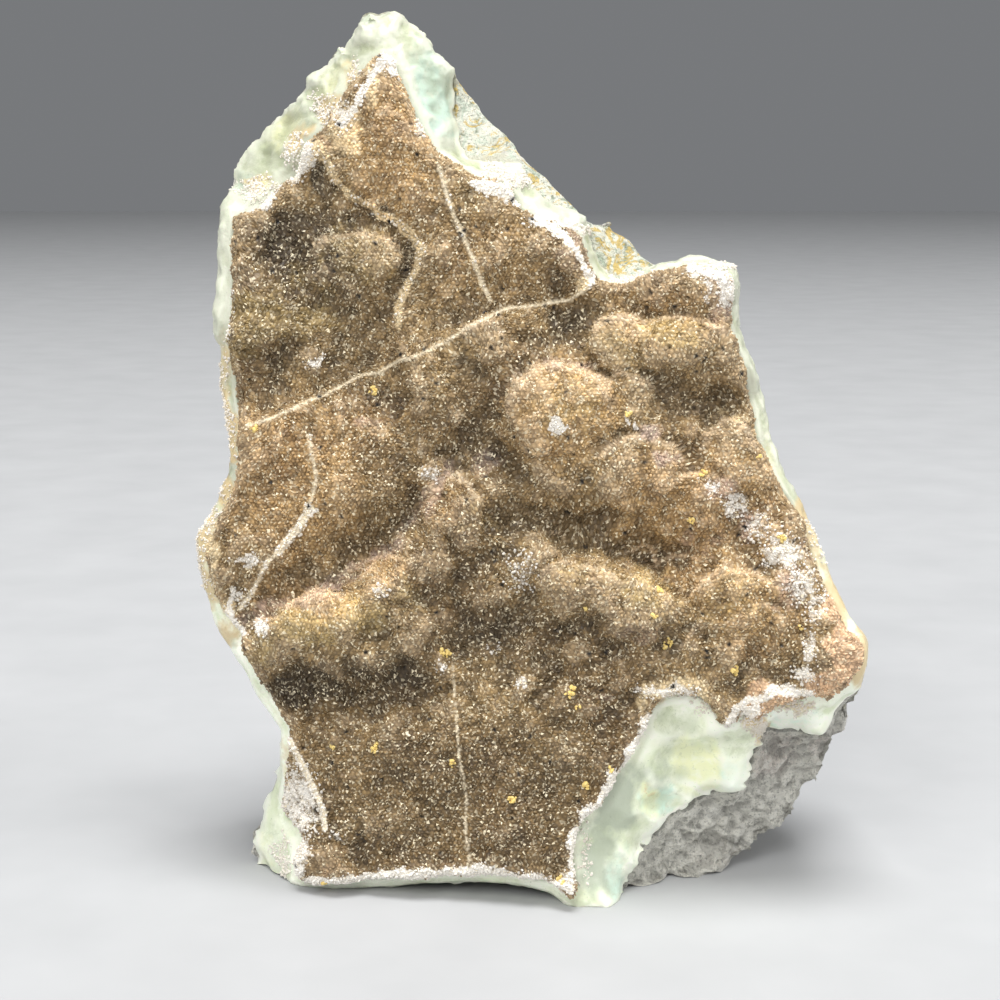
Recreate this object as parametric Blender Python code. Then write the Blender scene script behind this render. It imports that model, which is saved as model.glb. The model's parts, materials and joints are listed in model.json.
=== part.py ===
"""Standing piece of geode wall: a crust of small quartz crystals on a layer of pale green
chalcedony on a wedge of grey host rock. Three closed bodies, each backed by the next.
Metres, +Z up, the crystal face looks along -Y, the underside rests on Z = 0."""

import random

import bmesh
import bpy
import numpy as np
from mathutils import Matrix, Vector, noise
from mathutils.geometry import delaunay_2d_cdt

# Lengths in this file are millimetres until they are placed; MM turns them into metres
MM = 0.001
SEED = 41

# Front plane: its Y at the table, how far it leans back per millimetre of height,
# and how fast the left part of the face turns away to the back
FRONT_Y = -24.0
LEAN = 0.10
TURN_X = 9.0
TURN = 0.20

# Point the outlines were read from; a point that lies deeper is moved out along its
# line of sight to this point, so the edges keep the shape they show from the front
SIGHT = (-4.5, -279.6, 102.4)

# Layer thicknesses and the gap left between two touching pieces
CRUST = 2.6
CHALCEDONY = 6.0
CHALCEDONY_EDGE = 2.4
GAP = 0.32

# Widths of the thin broken rims, seen from the front
CRUST_RIM = 0.40
CHALCEDONY_RIM = 0.32
ROCK_LIP = 0.34

# Spacing of the surface points
CRUST_STEP = 2.15
BAND_STEP = 2.3
HIDDEN_STEP = 4.6
ROCK_STEP = 2.9
BACK_STEP = 5.2
ROCK_RINGS = 5

# How softly two neighbouring lumps run into each other
CREASE = 0.5

# Height over the table that the crystal crust keeps
CRUST_CLEAR = 0.5

# Back of the host rock: height and Y of its middle line, and how much it rounds off sideways
BACK_LINE = [(-10, 25.0), (20, 27.0), (40, 25.5), (60, 22.0), (80, 18.0), (100, 14.0), (130, 9.0)]
BACK_ROUND = 9.0
# Size of the back against the front outline, how far the rock swells between them, and how
# far its lowest edge drops to the back
BACK_SHRINK = 0.80
ROCK_SWELL = 1.9
UNDERCUT = 4.0

# Broken outline shared by the rock and the chalcedony, from the left foot up to the peak
LEFT_RUN = [
    (-37.9, 10.8), (-37.0, 12.9), (-35.9, 17.0), (-34.5, 21.0), (-34.1, 23.2), (-33.8, 25.7),
    (-35.2, 27.7), (-37.1, 30.2), (-38.7, 33.4), (-40.5, 35.8), (-41.8, 38.0), (-42.7, 40.1),
    (-43.5, 42.8), (-44.4, 45.5), (-44.9, 47.8), (-44.9, 49.8), (-44.4, 52.4), (-43.1, 54.5),
    (-41.7, 57.1), (-40.7, 60.0), (-40.5, 63.0), (-40.7, 66.9), (-41.2, 70.8), (-41.8, 74.0),
    (-41.7, 76.7), (-42.4, 78.2), (-42.2, 81.3), (-41.5, 86.5), (-41.8, 88.9), (-41.6, 92.0),
    (-41.3, 95.2), (-40.2, 97.8), (-39.5, 100.4), (-37.6, 103.0), (-36.2, 104.2),
    (-34.7, 106.2), (-33.3, 107.1), (-31.7, 108.8), (-30.3, 110.2), (-30.0, 111.5),
    (-28.3, 112.3), (-27.1, 113.2), (-26.8, 114.3), (-25.6, 115.7), (-24.8, 115.6),
    (-24.3, 117.0), (-23.3, 118.6), (-22.6, 119.7), (-21.6, 120.2), (-20.4, 119.9),
    (-18.9, 120.3), (-17.6, 120.0), (-16.2, 118.8), (-14.6, 117.8), (-13.5, 116.7),
    (-12.8, 114.9), (-11.5, 114.0), (-9.9, 112.8),
]
# Outline of the rock that shows past the chalcedony at the top right
TOP_ROCK = [
    (-8.6, 111.2), (-7.0, 109.0), (-5.5, 106.9), (-3.4, 105.0), (-1.5, 102.8), (0.2, 100.9),
    (2.0, 99.5), (4.9, 96.6), (7.2, 94.5), (8.1, 93.5), (10.6, 93.2), (10.9, 92.4),
    (13.2, 91.4), (14.8, 89.4), (16.1, 88.5), (17.3, 88.0),
]
# Edge of the chalcedony along the same stretch
TOP_BAND = [
    (-9.9, 110.3), (-9.7, 106.0), (-9.4, 102.6), (-8.4, 101.3), (-6.0, 101.0), (-3.5, 100.9),
    (-1.4, 100.5), (-0.7, 98.6), (0.8, 96.7), (2.6, 95.2), (4.6, 94.5), (6.2, 94.1),
    (7.3, 93.2), (7.9, 91.0), (8.2, 88.6), (8.8, 87.1), (9.9, 86.3), (11.5, 85.9),
    (13.0, 86.4), (14.6, 87.1), (16.2, 87.6),
]
RIGHT_RUN = [
    (18.2, 87.5), (20.2, 88.1), (21.8, 88.3), (23.9, 87.9), (26.0, 87.5), (26.9, 87.0),
    (27.3, 85.8), (27.2, 83.9), (26.9, 82.0), (27.0, 80.0), (27.5, 78.3), (28.3, 76.4),
    (29.2, 75.1), (29.4, 73.6), (29.9, 71.1), (30.8, 68.6), (31.1, 66.5), (31.5, 64.4),
    (32.6, 61.6), (34.5, 58.2), (36.1, 55.5), (37.6, 52.1), (38.6, 48.7), (39.8, 45.7),
    (41.5, 43.1), (42.4, 40.9), (43.5, 39.2), (44.6, 38.0), (44.9, 36.6), (44.8, 34.2),
    (44.3, 32.4), (44.0, 30.8),
]
# Outline of the rock at the lower right, down to the front foot
LOWER_ROCK = [
    (43.6, 29.0), (43.0, 27.0), (42.6, 24.8), (41.3, 23.2), (39.7, 20.5), (38.9, 18.9),
    (38.1, 17.3), (36.8, 15.6), (35.2, 13.5), (33.1, 11.0), (31.5, 9.7), (30.2, 8.3),
    (28.7, 7.2), (25.0, 5.6), (22.3, 5.0), (18.6, 3.7), (16.4, 2.9), (13.9, 2.6),
    (12.6, 1.3),
]
LOWER_BAND = [
    (42.2, 29.6), (40.7, 28.0), (39.9, 26.0), (38.8, 24.5), (36.6, 24.6), (35.4, 25.2),
    (33.7, 25.2), (31.9, 25.4), (30.7, 24.3), (29.9, 22.7), (29.7, 21.2), (29.6, 19.8),
    (28.6, 18.1), (27.4, 16.7), (25.8, 16.5), (24.0, 16.7), (22.4, 15.9), (21.4, 14.7),
    (19.4, 14.0), (17.6, 12.2), (16.5, 10.9), (15.0, 9.8), (14.4, 7.9), (13.5, 6.4),
    (12.9, 4.9), (12.1, 2.9), (11.6, 1.2),
]
BOTTOM_RUN = [
    (10.6, -0.3), (7.9, -0.4), (6.3, 0.0), (4.5, 0.7), (3.6, 2.3), (2.2, 3.5), (0.0, 4.0),
    (-2.3, 4.5), (-4.8, 4.8), (-7.2, 4.9), (-11.2, 4.8), (-15.0, 4.6), (-17.9, 4.2),
    (-20.3, 4.2), (-23.3, 4.0), (-27.3, 3.8), (-30.0, 3.5), (-33.0, 3.5), (-34.4, 3.8),
]
FOOT_ROCK = [(-35.8, 4.0), (-37.5, 4.4), (-38.4, 5.3), (-38.8, 6.6), (-38.4, 8.3), (-38.3, 9.8)]
FOOT_BAND = [(-35.2, 4.9), (-36.2, 6.4), (-37.0, 8.0), (-37.6, 9.6)]

# Outer edge of the crystal crust's face
CRUST_EDGE = [
    (-32.2, 25.8), (-33.9, 28.4), (-35.5, 30.9), (-37.0, 33.5), (-38.2, 36.0), (-39.0, 38.4),
    (-40.0, 39.9), (-41.2, 40.9), (-42.1, 43.0), (-43.1, 45.7), (-43.5, 47.9), (-43.4, 49.8),
    (-42.6, 52.0), (-41.4, 54.2), (-40.0, 56.9), (-39.1, 59.9), (-39.0, 63.0), (-39.1, 66.9),
    (-39.5, 70.6), (-39.3, 72.8), (-40.2, 74.6), (-40.4, 76.8), (-40.1, 79.5), (-39.9, 82.5),
    (-39.7, 86.5), (-39.9, 90.0), (-39.7, 93.5), (-37.2, 93.9), (-35.4, 94.6), (-34.4, 95.8),
    (-33.6, 97.1), (-32.3, 98.1), (-30.9, 98.9), (-30.1, 100.2), (-29.9, 102.2), (-28.6, 103.8),
    (-27.3, 105.1), (-26.2, 107.0), (-25.0, 109.3), (-23.5, 111.2), (-22.4, 112.3),
    (-21.0, 113.7), (-19.9, 114.2), (-18.8, 113.4), (-18.0, 111.9), (-17.1, 110.0),
    (-16.2, 107.8), (-15.2, 105.6), (-14.2, 103.6), (-13.0, 101.6), (-11.6, 101.0),
    (-10.2, 100.4), (-9.0, 99.4), (-7.6, 98.5), (-5.6, 98.2), (-4.0, 97.7), (-2.9, 96.9),
    (-2.4, 95.4), (-1.5, 94.2), (0.2, 93.7), (1.7, 92.9), (3.2, 92.1), (4.8, 91.8),
    (6.0, 91.1), (6.5, 89.4), (6.9, 87.6), (7.7, 86.0), (8.8, 85.0), (10.2, 84.6),
    (11.6, 84.2), (13.0, 84.9), (14.7, 85.7), (16.4, 86.1), (18.3, 86.0), (20.3, 86.7),
    (22.0, 86.8), (23.8, 86.6), (25.3, 86.1), (25.9, 85.2), (25.9, 83.8), (25.6, 82.0),
    (25.7, 79.9), (26.2, 77.9), (27.0, 75.9), (27.6, 74.0), (27.9, 71.8), (28.5, 69.4),
    (29.2, 67.2), (29.6, 64.9), (30.3, 62.5), (31.6, 59.9), (33.2, 57.2), (34.7, 54.8),
    (36.2, 51.6), (37.2, 48.3), (38.5, 45.2), (40.1, 42.5), (41.1, 40.2), (42.3, 38.5),
    (43.2, 37.4), (43.5, 36.3), (43.4, 34.4), (42.8, 33.0), (41.8, 31.6), (40.3, 30.7),
    (39.3, 29.9), (38.2, 30.2), (37.0, 30.4), (35.4, 30.0), (33.8, 29.3), (32.3, 28.7),
    (31.1, 27.8), (30.1, 27.2), (29.3, 27.4), (28.6, 28.0), (27.8, 27.9), (26.9, 26.6),
    (25.8, 26.0), (24.8, 26.4), (24.2, 27.8), (23.4, 29.2), (22.2, 30.0), (20.6, 30.3),
    (18.9, 30.2), (17.2, 29.8), (15.9, 28.9), (15.2, 27.3), (14.5, 25.6), (13.6, 23.8),
    (12.6, 21.9), (11.4, 20.1), (10.7, 18.4), (9.8, 16.8), (8.4, 15.3), (7.1, 14.0),
    (6.0, 12.5), (5.3, 10.8), (5.0, 9.2), (5.3, 7.6), (5.5, 5.8), (5.5, 4.2), (5.2, 2.9),
    (4.2, 3.6), (3.0, 4.7), (1.4, 5.2), (-0.3, 5.5), (-2.4, 6.0), (-4.9, 6.1), (-7.2, 6.2),
    (-9.2, 6.1), (-11.2, 6.1), (-13.1, 6.0), (-15.0, 6.0), (-17.8, 5.5), (-20.4, 5.5),
    (-23.3, 5.3), (-25.4, 5.2), (-27.3, 5.1), (-29.0, 4.9), (-30.6, 5.0), (-31.7, 6.0),
    (-32.2, 7.5), (-31.8, 9.0), (-31.0, 10.3), (-31.2, 11.9), (-32.6, 12.9), (-33.5, 14.6),
    (-33.5, 16.8), (-33.2, 18.6), (-33.2, 20.4), (-32.9, 22.1), (-32.6, 23.9),
]

# How far the chalcedony's outer edge lies behind the crystal face: (x, height, drop)
BAND_DROP = [
    (-45, 48, 3.6), (-41, 75, 3.6), (-42, 90, 4.2), (-38, 100, 7.0), (-31, 109, 6.5),
    (-22, 119, 5.0), (-14, 116, 6.0), (-10, 108, 7.0), (-5, 101, 5.4), (2, 95.5, 5.2),
    (8, 90, 5.0), (12, 86, 4.8), (24, 88, 3.8), (31, 66, 3.6), (38, 50, 3.6),
    (45, 36, 4.0), (40, 27, 6.5), (33, 25.5, 7.5), (30, 20, 8.2), (24, 16.5, 8.0),
    (17, 11.5, 7.0), (13, 6, 5.4), (9, 0, 3.8), (0, 4, 3.6), (-15, 4.5, 3.6),
    (-30, 3.5, 3.8), (-37, 8, 5.0), (-35, 17, 4.4), (-34, 25, 3.6), (-40, 36, 3.8),
]
# How far the rock goes back between the chalcedony's edge and its own outline
ROCK_DROP = [
    (-45, 48, 0.8), (-41, 90, 0.8), (-22, 119, 0.8), (-6, 107, 2.4), (3, 98, 2.0),
    (12, 91, 2.6), (24, 88, 0.8), (31, 66, 0.8), (45, 36, 1.0), (43, 26, 4.0),
    (38, 17, 6.0), (30, 8, 6.0), (22, 5, 4.5), (14, 2.5, 2.5), (8, 0, 1.0),
    (-5, 4.5, 6.0), (-20, 4, 6.0), (-30, 3.5, 2.0), (-38, 6, 1.6), (-35, 17, 0.8),
]

# Rounded lumps of the crystal face: (x, height, half width, half height, rise)
LUMPS = [
    (3.0, 69.6, 9.0, 7.4, 3.4), (11.4, 77.0, 5.4, 5.0, 2.6), (12.6, 70.6, 4.6, 4.6, 2.2),
    (-6.4, 77.6, 4.2, 3.8, 1.9), (-7.6, 58.6, 5.2, 4.2, 1.8), (-13.2, 59.2, 3.6, 3.0, 1.3),
    (-23.6, 88.4, 7.4, 6.2, 2.4), (-29.4, 73.4, 3.2, 2.8, 1.2), (-36.4, 80.0, 6.4, 3.8, 1.8),
    (19.0, 77.4, 8.6, 5.0, 2.6), (25.0, 74.4, 5.4, 4.2, 2.2), (19.6, 85.2, 8.6, 4.6, 2.4),
    (26.0, 63.4, 4.4, 5.0, 1.8), (14.0, 61.6, 8.4, 6.0, 2.6), (22.4, 58.0, 5.0, 4.6, 1.5),
    (26.2, 43.0, 7.4, 6.2, 2.4), (23.6, 36.8, 5.6, 4.8, 1.6), (14.0, 42.4, 6.4, 4.8, 3.4),
    (7.0, 45.4, 6.8, 4.6, 3.2), (0.6, 48.4, 4.4, 3.6, 2.4), (-2.0, 36.6, 3.4, 3.2, 1.5),
    (6.2, 35.6, 2.8, 2.8, 1.2), (13.8, 35.0, 3.2, 3.0, 1.3), (5.6, 29.8, 3.6, 3.2, 1.4),
    (-12.0, 34.6, 1.8, 1.8, 0.9), (-1.4, 31.8, 1.9, 1.8, 0.9), (-5.6, 36.2, 1.8, 1.7, 0.8),
    (5.6, 22.0, 3.8, 3.4, 1.0), (-27.4, 7.6, 4.2, 3.4, 1.6), (-9.8, 53.0, 6.0, 5.2, 3.0),
    (-14.4, 48.2, 6.0, 5.2, 3.8), (-20.6, 43.6, 5.6, 4.4, 4.0), (-27.0, 40.6, 5.6, 4.6, 4.2),
    (-32.6, 38.4, 5.2, 4.4, 3.4), (-6.6, 44.0, 4.0, 4.0, 1.6), (-16.6, 40.4, 6.4, 5.0, 2.6),
    (-24.0, 35.2, 7.0, 4.2, 2.6), (-36.8, 35.0, 3.4, 3.6, 1.6), (39.6, 35.6, 5.0, 5.0, 1.6),
    (33.0, 47.0, 4.4, 6.4, 1.4), (36.4, 40.6, 4.2, 4.6, 1.2), (-3.0, 72.6, 4.4, 3.6, 1.2),
    (-15.0, 73.0, 6.0, 4.0, 1.2), (-24.0, 65.4, 6.6, 4.2, 1.0), (-37.6, 64.0, 5.2, 4.6, 1.0),
    (-22.0, 57.0, 6.0, 5.0, 0.9), (-36.0, 48.6, 6.4, 5.0, 1.1), (3.6, 58.4, 5.6, 4.6, 1.6),
    (30.6, 57.0, 4.6, 4.6, 1.2), (-16.0, 22.0, 9.0, 6.0, 1.0), (-22.0, 14.0, 7.0, 5.0, 0.9),
    (-4.0, 13.0, 6.0, 5.0, 0.8), (3.0, 88.0, 5.0, 4.0, 0.9), (-5.0, 87.0, 4.0, 4.4, 0.8),
]
# Soft hollows of the crystal face: (x, height, half width, half height, depth)
HOLLOWS = [
    (-32.0, 88.0, 6.5, 6.0, 2.2), (-21.4, 94.0, 6.0, 3.0, 1.8), (-33.0, 74.6, 6.0, 4.6, 1.4),
    (5.4, 80.2, 4.4, 3.0, 2.2), (-4.0, 37.0, 9.0, 8.0, 3.4), (-26.0, 30.6, 15.0, 4.2, 3.2),
    (24.0, 69.6, 5.5, 3.4, 1.6), (-7.0, 64.4, 5.0, 3.4, 1.6), (15.2, 49.4, 6.6, 3.2, 2.2),
    (-24.0, 50.0, 9.0, 6.0, 1.4), (-12.0, 15.0, 20.0, 12.0, 1.6), (8.0, 54.0, 9.0, 2.6, 1.4),
]
# Broken steps: (height of the step, its width, how far it fades out, points along its top).
# The lower side is on the left of the line's direction
LEDGES = [
    (3.2, 1.0, 20.0, [(-17.6, 76.6), (-18.1, 80.6), (-16.5, 84.6), (-15.6, 88.6), (-16.9, 92.0),
                      (-21.4, 94.9), (-24.4, 97.4), (-27.2, 99.8), (-28.6, 102.4)]),
    (2.4, 1.6, 11.0, [(-37.5, 39.0), (-33.0, 42.4), (-28.0, 43.6), (-24.6, 43.2), (-21.6, 45.6),
                      (-18.0, 48.0), (-14.4, 51.6), (-11.4, 55.6), (-8.0, 57.6)]),
    (2.4, 1.4, 8.0, [(-1.0, 51.2), (4.0, 49.8), (9.0, 49.6), (13.0, 47.6), (16.4, 45.0),
                     (18.6, 42.0)]),
    (0.9, 0.9, 9.0, [(-40.0, 68.0), (-34.0, 67.6), (-27.6, 70.6), (-19.6, 74.8), (-12.4, 78.6),
                     (-7.4, 80.6), (0.4, 81.4), (6.4, 84.0)]),
]
# Line where the face bends away to the left above the left foot, and how steeply
BEND = [(-33.8, 26.6), (-32.4, 22.4), (-30.8, 19.4), (-29.4, 16.8), (-28.2, 13.6), (-30.0, 11.2),
        (-31.6, 8.6), (-31.8, 5.6), (-30.6, 2.6)]
BEND_SLOPE = 0.75

# Scoops and bulges of the broken chalcedony: (x, height, half width, half height, depth)
SCOOPS = [
    (22.0, 23.4, 6.4, 4.6, 1.5), (19.6, 28.0, 3.4, 2.2, -0.7), (34.4, 27.6, 3.6, 2.0, 1.1),
    (8.6, 12.0, 3.0, 5.0, 1.0), (27.6, 21.4, 2.6, 4.2, -0.8), (18.2, 16.6, 3.4, 2.0, 1.2),
    (-14.4, 112.0, 3.0, 5.0, 0.9), (-34.0, 103.0, 4.0, 4.0, -0.8), (-28.0, 109.6, 3.0, 2.0, 0.8),
    (-22.0, 117.4, 2.6, 2.0, -0.8), (-35.0, 8.6, 2.4, 3.0, -0.8),
]
# Edges in the broken chalcedony and in the rock, laid out like LEDGES
BAND_LEDGES = [
    (1.3, 0.9, 7.0, [(24.0, 17.8), (20.6, 18.6), (18.0, 18.4), (15.6, 20.0)]),
    (1.4, 1.0, 9.0, [(20.6, 15.6), (17.4, 13.4), (14.0, 11.0), (12.2, 8.0), (11.0, 4.6),
                     (10.2, -1.0)]),
]
ROCK_LEDGES = [
    (1.6, 1.0, 9.0, [(40.4, 22.0), (37.0, 18.6), (33.0, 15.0), (29.0, 12.4), (24.0, 11.4),
                     (18.0, 9.0)]),
    (1.2, 0.8, 6.0, [(34.0, 22.4), (31.0, 20.0), (29.6, 17.0), (26.0, 14.4)]),
]


def as_points(rows):
    """Rows of numbers as a float array."""
    return np.array(rows, float)


def nearest(points, line, closed=True):
    """Distance from each point to a line, and on which side of it the point lies (left is +)."""
    start = line if closed else line[:-1]
    end = np.roll(line, -1, axis=0) if closed else line[1:]
    span = end - start
    rel = points[:, None, :] - start[None, :, :]
    along = (rel * span).sum(2) / np.maximum((span * span).sum(1), 1e-9)
    along = np.clip(along, 0.0, 1.0)
    away = rel - along[:, :, None] * span
    far = np.sqrt((away * away).sum(2))
    # Among equally near segments the one that faces the point most squarely decides the side
    cross = span[:, 0] * rel[:, :, 1] - span[:, 1] * rel[:, :, 0]
    cross = cross / np.sqrt((span * span).sum(1))
    best = far.min(1)
    close = far < best[:, None] + 1e-6
    strongest = np.where(close, np.abs(cross), -1.0).argmax(1)
    side = np.sign(cross[np.arange(len(points)), strongest])
    return best, side


def inside(points, loop):
    """Which points lie within a closed outline."""
    x, z = points[:, 0][:, None], points[:, 1][:, None]
    x0, z0 = loop[:, 0][None, :], loop[:, 1][None, :]
    x1, z1 = np.roll(loop[:, 0], -1)[None, :], np.roll(loop[:, 1], -1)[None, :]
    crosses = (z0 > z) != (z1 > z)
    rise = np.where(np.abs(z1 - z0) < 1e-9, 1e-9, z1 - z0)
    hit = crosses & (x < (x1 - x0) * (z - z0) / rise + x0)
    return hit.sum(1) % 2 == 1


def grown(loop, width):
    """The outline moved outward by a width at every corner."""
    ahead = np.roll(loop, -1, axis=0) - loop
    behind = loop - np.roll(loop, 1, axis=0)
    turn = []
    for step in (ahead, behind):
        length = np.sqrt((step * step).sum(1))[:, None]
        turn.append(np.stack([-step[:, 1], step[:, 0]], 1) / length)
    normal = turn[0] + turn[1]
    length = np.sqrt((normal * normal).sum(1))[:, None]
    normal = normal / np.maximum(length, 0.7)
    mitre = 1.0 / np.maximum((normal * turn[0]).sum(1), 0.75)
    return loop + normal * (mitre * width)[:, None]


def smooth_step(value, low, high):
    """Runs from 0 to 1 between two limits."""
    t = np.clip((value - low) / (high - low), 0.0, 1.0)
    return t * t * (3.0 - 2.0 * t)


def from_table(points, table):
    """Value at each point from nearby (x, height, value) entries."""
    rows = as_points(table)
    gap = points[:, None, :] - rows[None, :, :2]
    weight = 1.0 / ((gap * gap).sum(2) + 4.0) ** 2
    return (weight * rows[:, 2]).sum(1) / weight.sum(1)


def rough(points, size, seed):
    """Smooth random field between about -1 and 1 with lumps of a given size."""
    out = [noise.noise(Vector((p[0] / size, p[1] / size, seed))) for p in points]
    return np.array(out)


def bowls(points, table):
    """Sum of soft round hollows."""
    total = np.zeros(len(points))
    for x, z, rx, rz, depth in table:
        r2 = ((points[:, 0] - x) / rx) ** 2 + ((points[:, 1] - z) / rz) ** 2
        total += depth * np.exp(-1.6 * r2)
    return total


def steps(points, table):
    """Sum of broken steps, each deepest at its line and fading out on its lower side."""
    total = np.zeros(len(points))
    for height, width, fade, rows in table:
        line = as_points(rows)
        far, side = nearest(points, line, closed=False)
        run = far * side
        ends = np.minimum(
            np.sqrt(((points - line[0]) ** 2).sum(1)),
            np.sqrt(((points - line[-1]) ** 2).sum(1)),
        )
        total += (
            height
            * smooth_step(run, -0.4 * width, 0.6 * width)
            * (1.0 - smooth_step(run, 0.25 * fade, fade))
            * smooth_step(ends, 0.0, 4.0)
        )
    return total


def small_lumps():
    """Many small rounded lumps spread over the crystal face."""
    rng = random.Random(SEED)
    rows = []
    for _ in range(420):
        radius = rng.uniform(1.4, 3.2)
        rows.append((rng.uniform(-45, 45), rng.uniform(2, 116), radius, radius, 0.42 * radius))
    return rows


SMALL = small_lumps()


def domes(points, table, scale):
    """Highest of many rounded lumps, meeting in creases."""
    top = np.zeros(len(points))
    for x, z, rx, rz, rise in table:
        r2 = ((points[:, 0] - x) / rx) ** 2 + ((points[:, 1] - z) / rz) ** 2
        cap = rise * scale * np.sqrt(np.clip(1.0 - r2, 0.0, 1.0))
        near = np.clip(1.0 - np.abs(top - cap) / CREASE, 0.0, 1.0)
        joined = np.maximum(top, cap) + 0.25 * CREASE * near * near
        top = np.where(cap > 0.0, joined, top)
    return top


def relief(points, fine=True):
    """Depth of the crystal face behind the front plane; negative comes forward."""
    depth = np.maximum(TURN_X - points[:, 0], 0.0) * TURN
    depth = depth + bowls(points, HOLLOWS) + steps(points, LEDGES)
    depth = depth - domes(points, LUMPS, 1.0 if fine else 0.75)
    far, side = nearest(points, as_points(BEND), closed=False)
    low = 1.0 - smooth_step(points[:, 1], 23.0, 29.0)
    depth = depth + BEND_SLOPE * np.maximum(-far * side, 0.0) * low
    if fine:
        depth = depth - 0.5 * domes(points, SMALL, 1.0)
        depth = depth + 0.25 * rough(points, 1.9, 3.0)
    return depth + 0.5


def place(points, depth):
    """Points read from the front, put at their depth along the line of sight, in metres."""
    plane = FRONT_Y + LEAN * points[:, 1]
    reach = (plane + depth - SIGHT[1]) / (plane - SIGHT[1])
    x = SIGHT[0] + (points[:, 0] - SIGHT[0]) * reach
    z = SIGHT[2] + (points[:, 1] - SIGHT[2]) * reach
    return np.stack([x, plane + depth, z], 1) * MM


def spread(loop, step, keep_off, seed):
    """Evenly spread points within an outline, a little out of line, clear of some lines."""
    rng = np.random.default_rng(seed)
    low, high = loop.min(0), loop.max(0)
    rows = []
    z, odd = low[1], 0
    while z < high[1]:
        x = low[0] + (0.5 * step if odd else 0.0)
        while x < high[0]:
            rows.append((x, z))
            x += step
        z += step * 0.866
        odd = 1 - odd
    points = as_points(rows)
    points = points + rng.uniform(-0.16, 0.16, points.shape) * step
    points = points[inside(points, loop)]
    for line in keep_off:
        far, _ = nearest(points, line)
        points = points[far > 0.52 * step]
    return points


def along_steps(table, loop, step):
    """Two rows of points along every broken step, at its top and its foot."""
    rows = []
    for _, width, _, line in table:
        line = as_points(line)
        span = line[1:] - line[:-1]
        length = np.sqrt((span * span).sum(1))
        reach = np.concatenate([[0.0], np.cumsum(length)])
        for at in np.arange(0.8, reach[-1] - 0.5, step):
            k = int(np.searchsorted(reach, at) - 1)
            spot = line[k] + span[k] * (at - reach[k]) / length[k]
            side = np.array([-span[k][1], span[k][0]]) / length[k]
            rows.append(spot - side * 0.45 * width)
            rows.append(spot + side * 0.65 * width)
    points = as_points(rows)
    points = points[inside(points, loop)]
    far, _ = nearest(points, loop)
    points = points[far > 0.8]
    kept = []
    for point in points:
        if all((point[0] - q[0]) ** 2 + (point[1] - q[1]) ** 2 > 0.8 for q in kept):
            kept.append(point)
    return as_points(kept)


def thinned(points, kept, gap):
    """The points that stay clear of some others, with those others added."""
    apart = ((points[:, None, :] - kept[None, :, :]) ** 2).sum(2).min(1)
    return np.vstack([points[apart > gap * gap], kept])


def triangles(loops, points):
    """Triangles over the outermost loop with every loop kept as edges, and the points used."""
    coords = []
    edges = []
    for loop in loops:
        first = len(coords)
        count = len(loop)
        coords += [tuple(p) for p in loop]
        edges += [(first + i, first + (i + 1) % count) for i in range(count)]
    coords += [tuple(p) for p in points]
    made = delaunay_2d_cdt([Vector(c) for c in coords], edges, [], 0, 1e-7, True)
    used, faces, came_from = made[0], made[2], made[3]
    if len(used) != len(coords):
        raise ValueError("two outlines cross or touch")
    source = [ids[0] for ids in came_from]
    flat = as_points(coords)
    faces = np.array([[source[i] for i in f] for f in faces])
    return flat, faces


def within(flat, faces, loop):
    """The triangles whose middle lies within an outline."""
    return faces[inside(flat[faces].mean(1), loop)]


def band(first, second):
    """Quads between two closed rows of corners with the same count."""
    count = len(first)
    rows = []
    for i in range(count):
        j = (i + 1) % count
        rows.append((first[i], first[j], second[j], second[i]))
    return rows


def body(name, corners, faces, floor, material):
    """One closed body cut off flat at a height, with a material."""
    work = bmesh.new()
    made = [work.verts.new(c) for c in corners]
    for face in faces:
        work.faces.new([made[i] for i in face])
    loose = [v for v in work.verts if not v.link_faces]
    bmesh.ops.delete(work, geom=loose, context="VERTS")
    bmesh.ops.triangulate(work, faces=work.faces[:])
    cut = floor * MM
    for vert in work.verts:
        if abs(vert.co.z - cut) < 0.2 * MM:
            vert.co.z = cut
    bmesh.ops.bisect_plane(
        work,
        geom=work.verts[:] + work.edges[:] + work.faces[:],
        dist=1e-7,
        plane_co=(0, 0, cut),
        plane_no=(0, 0, 1),
    )
    under = [f for f in work.faces if f.calc_center_median().z < cut + 1e-7]
    bmesh.ops.delete(work, geom=under, context="FACES")
    loose = [e for e in work.edges if not e.link_faces]
    bmesh.ops.delete(work, geom=loose, context="EDGES")
    loose = [v for v in work.verts if not v.link_faces]
    bmesh.ops.delete(work, geom=loose, context="VERTS")
    rim = [e for e in work.edges if e.is_boundary]
    if rim:
        bmesh.ops.triangle_fill(work, edges=rim, use_beauty=True)
    bmesh.ops.triangulate(work, faces=work.faces[:])
    bmesh.ops.recalc_face_normals(work, faces=work.faces[:])
    mesh = bpy.data.meshes.new(name)
    work.to_mesh(mesh)
    work.free()
    mesh.materials.append(material)
    item = bpy.data.objects.new(name, mesh)
    bpy.context.scene.collection.objects.link(item)
    return item


def stone(name, colour, roughness):
    """A Principled material."""
    material = bpy.data.materials.new(name)
    material.use_nodes = True
    shader = material.node_tree.nodes["Principled BSDF"]
    shader.inputs["Base Color"].default_value = (*colour, 1.0)
    shader.inputs["Roughness"].default_value = roughness
    return material


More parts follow.
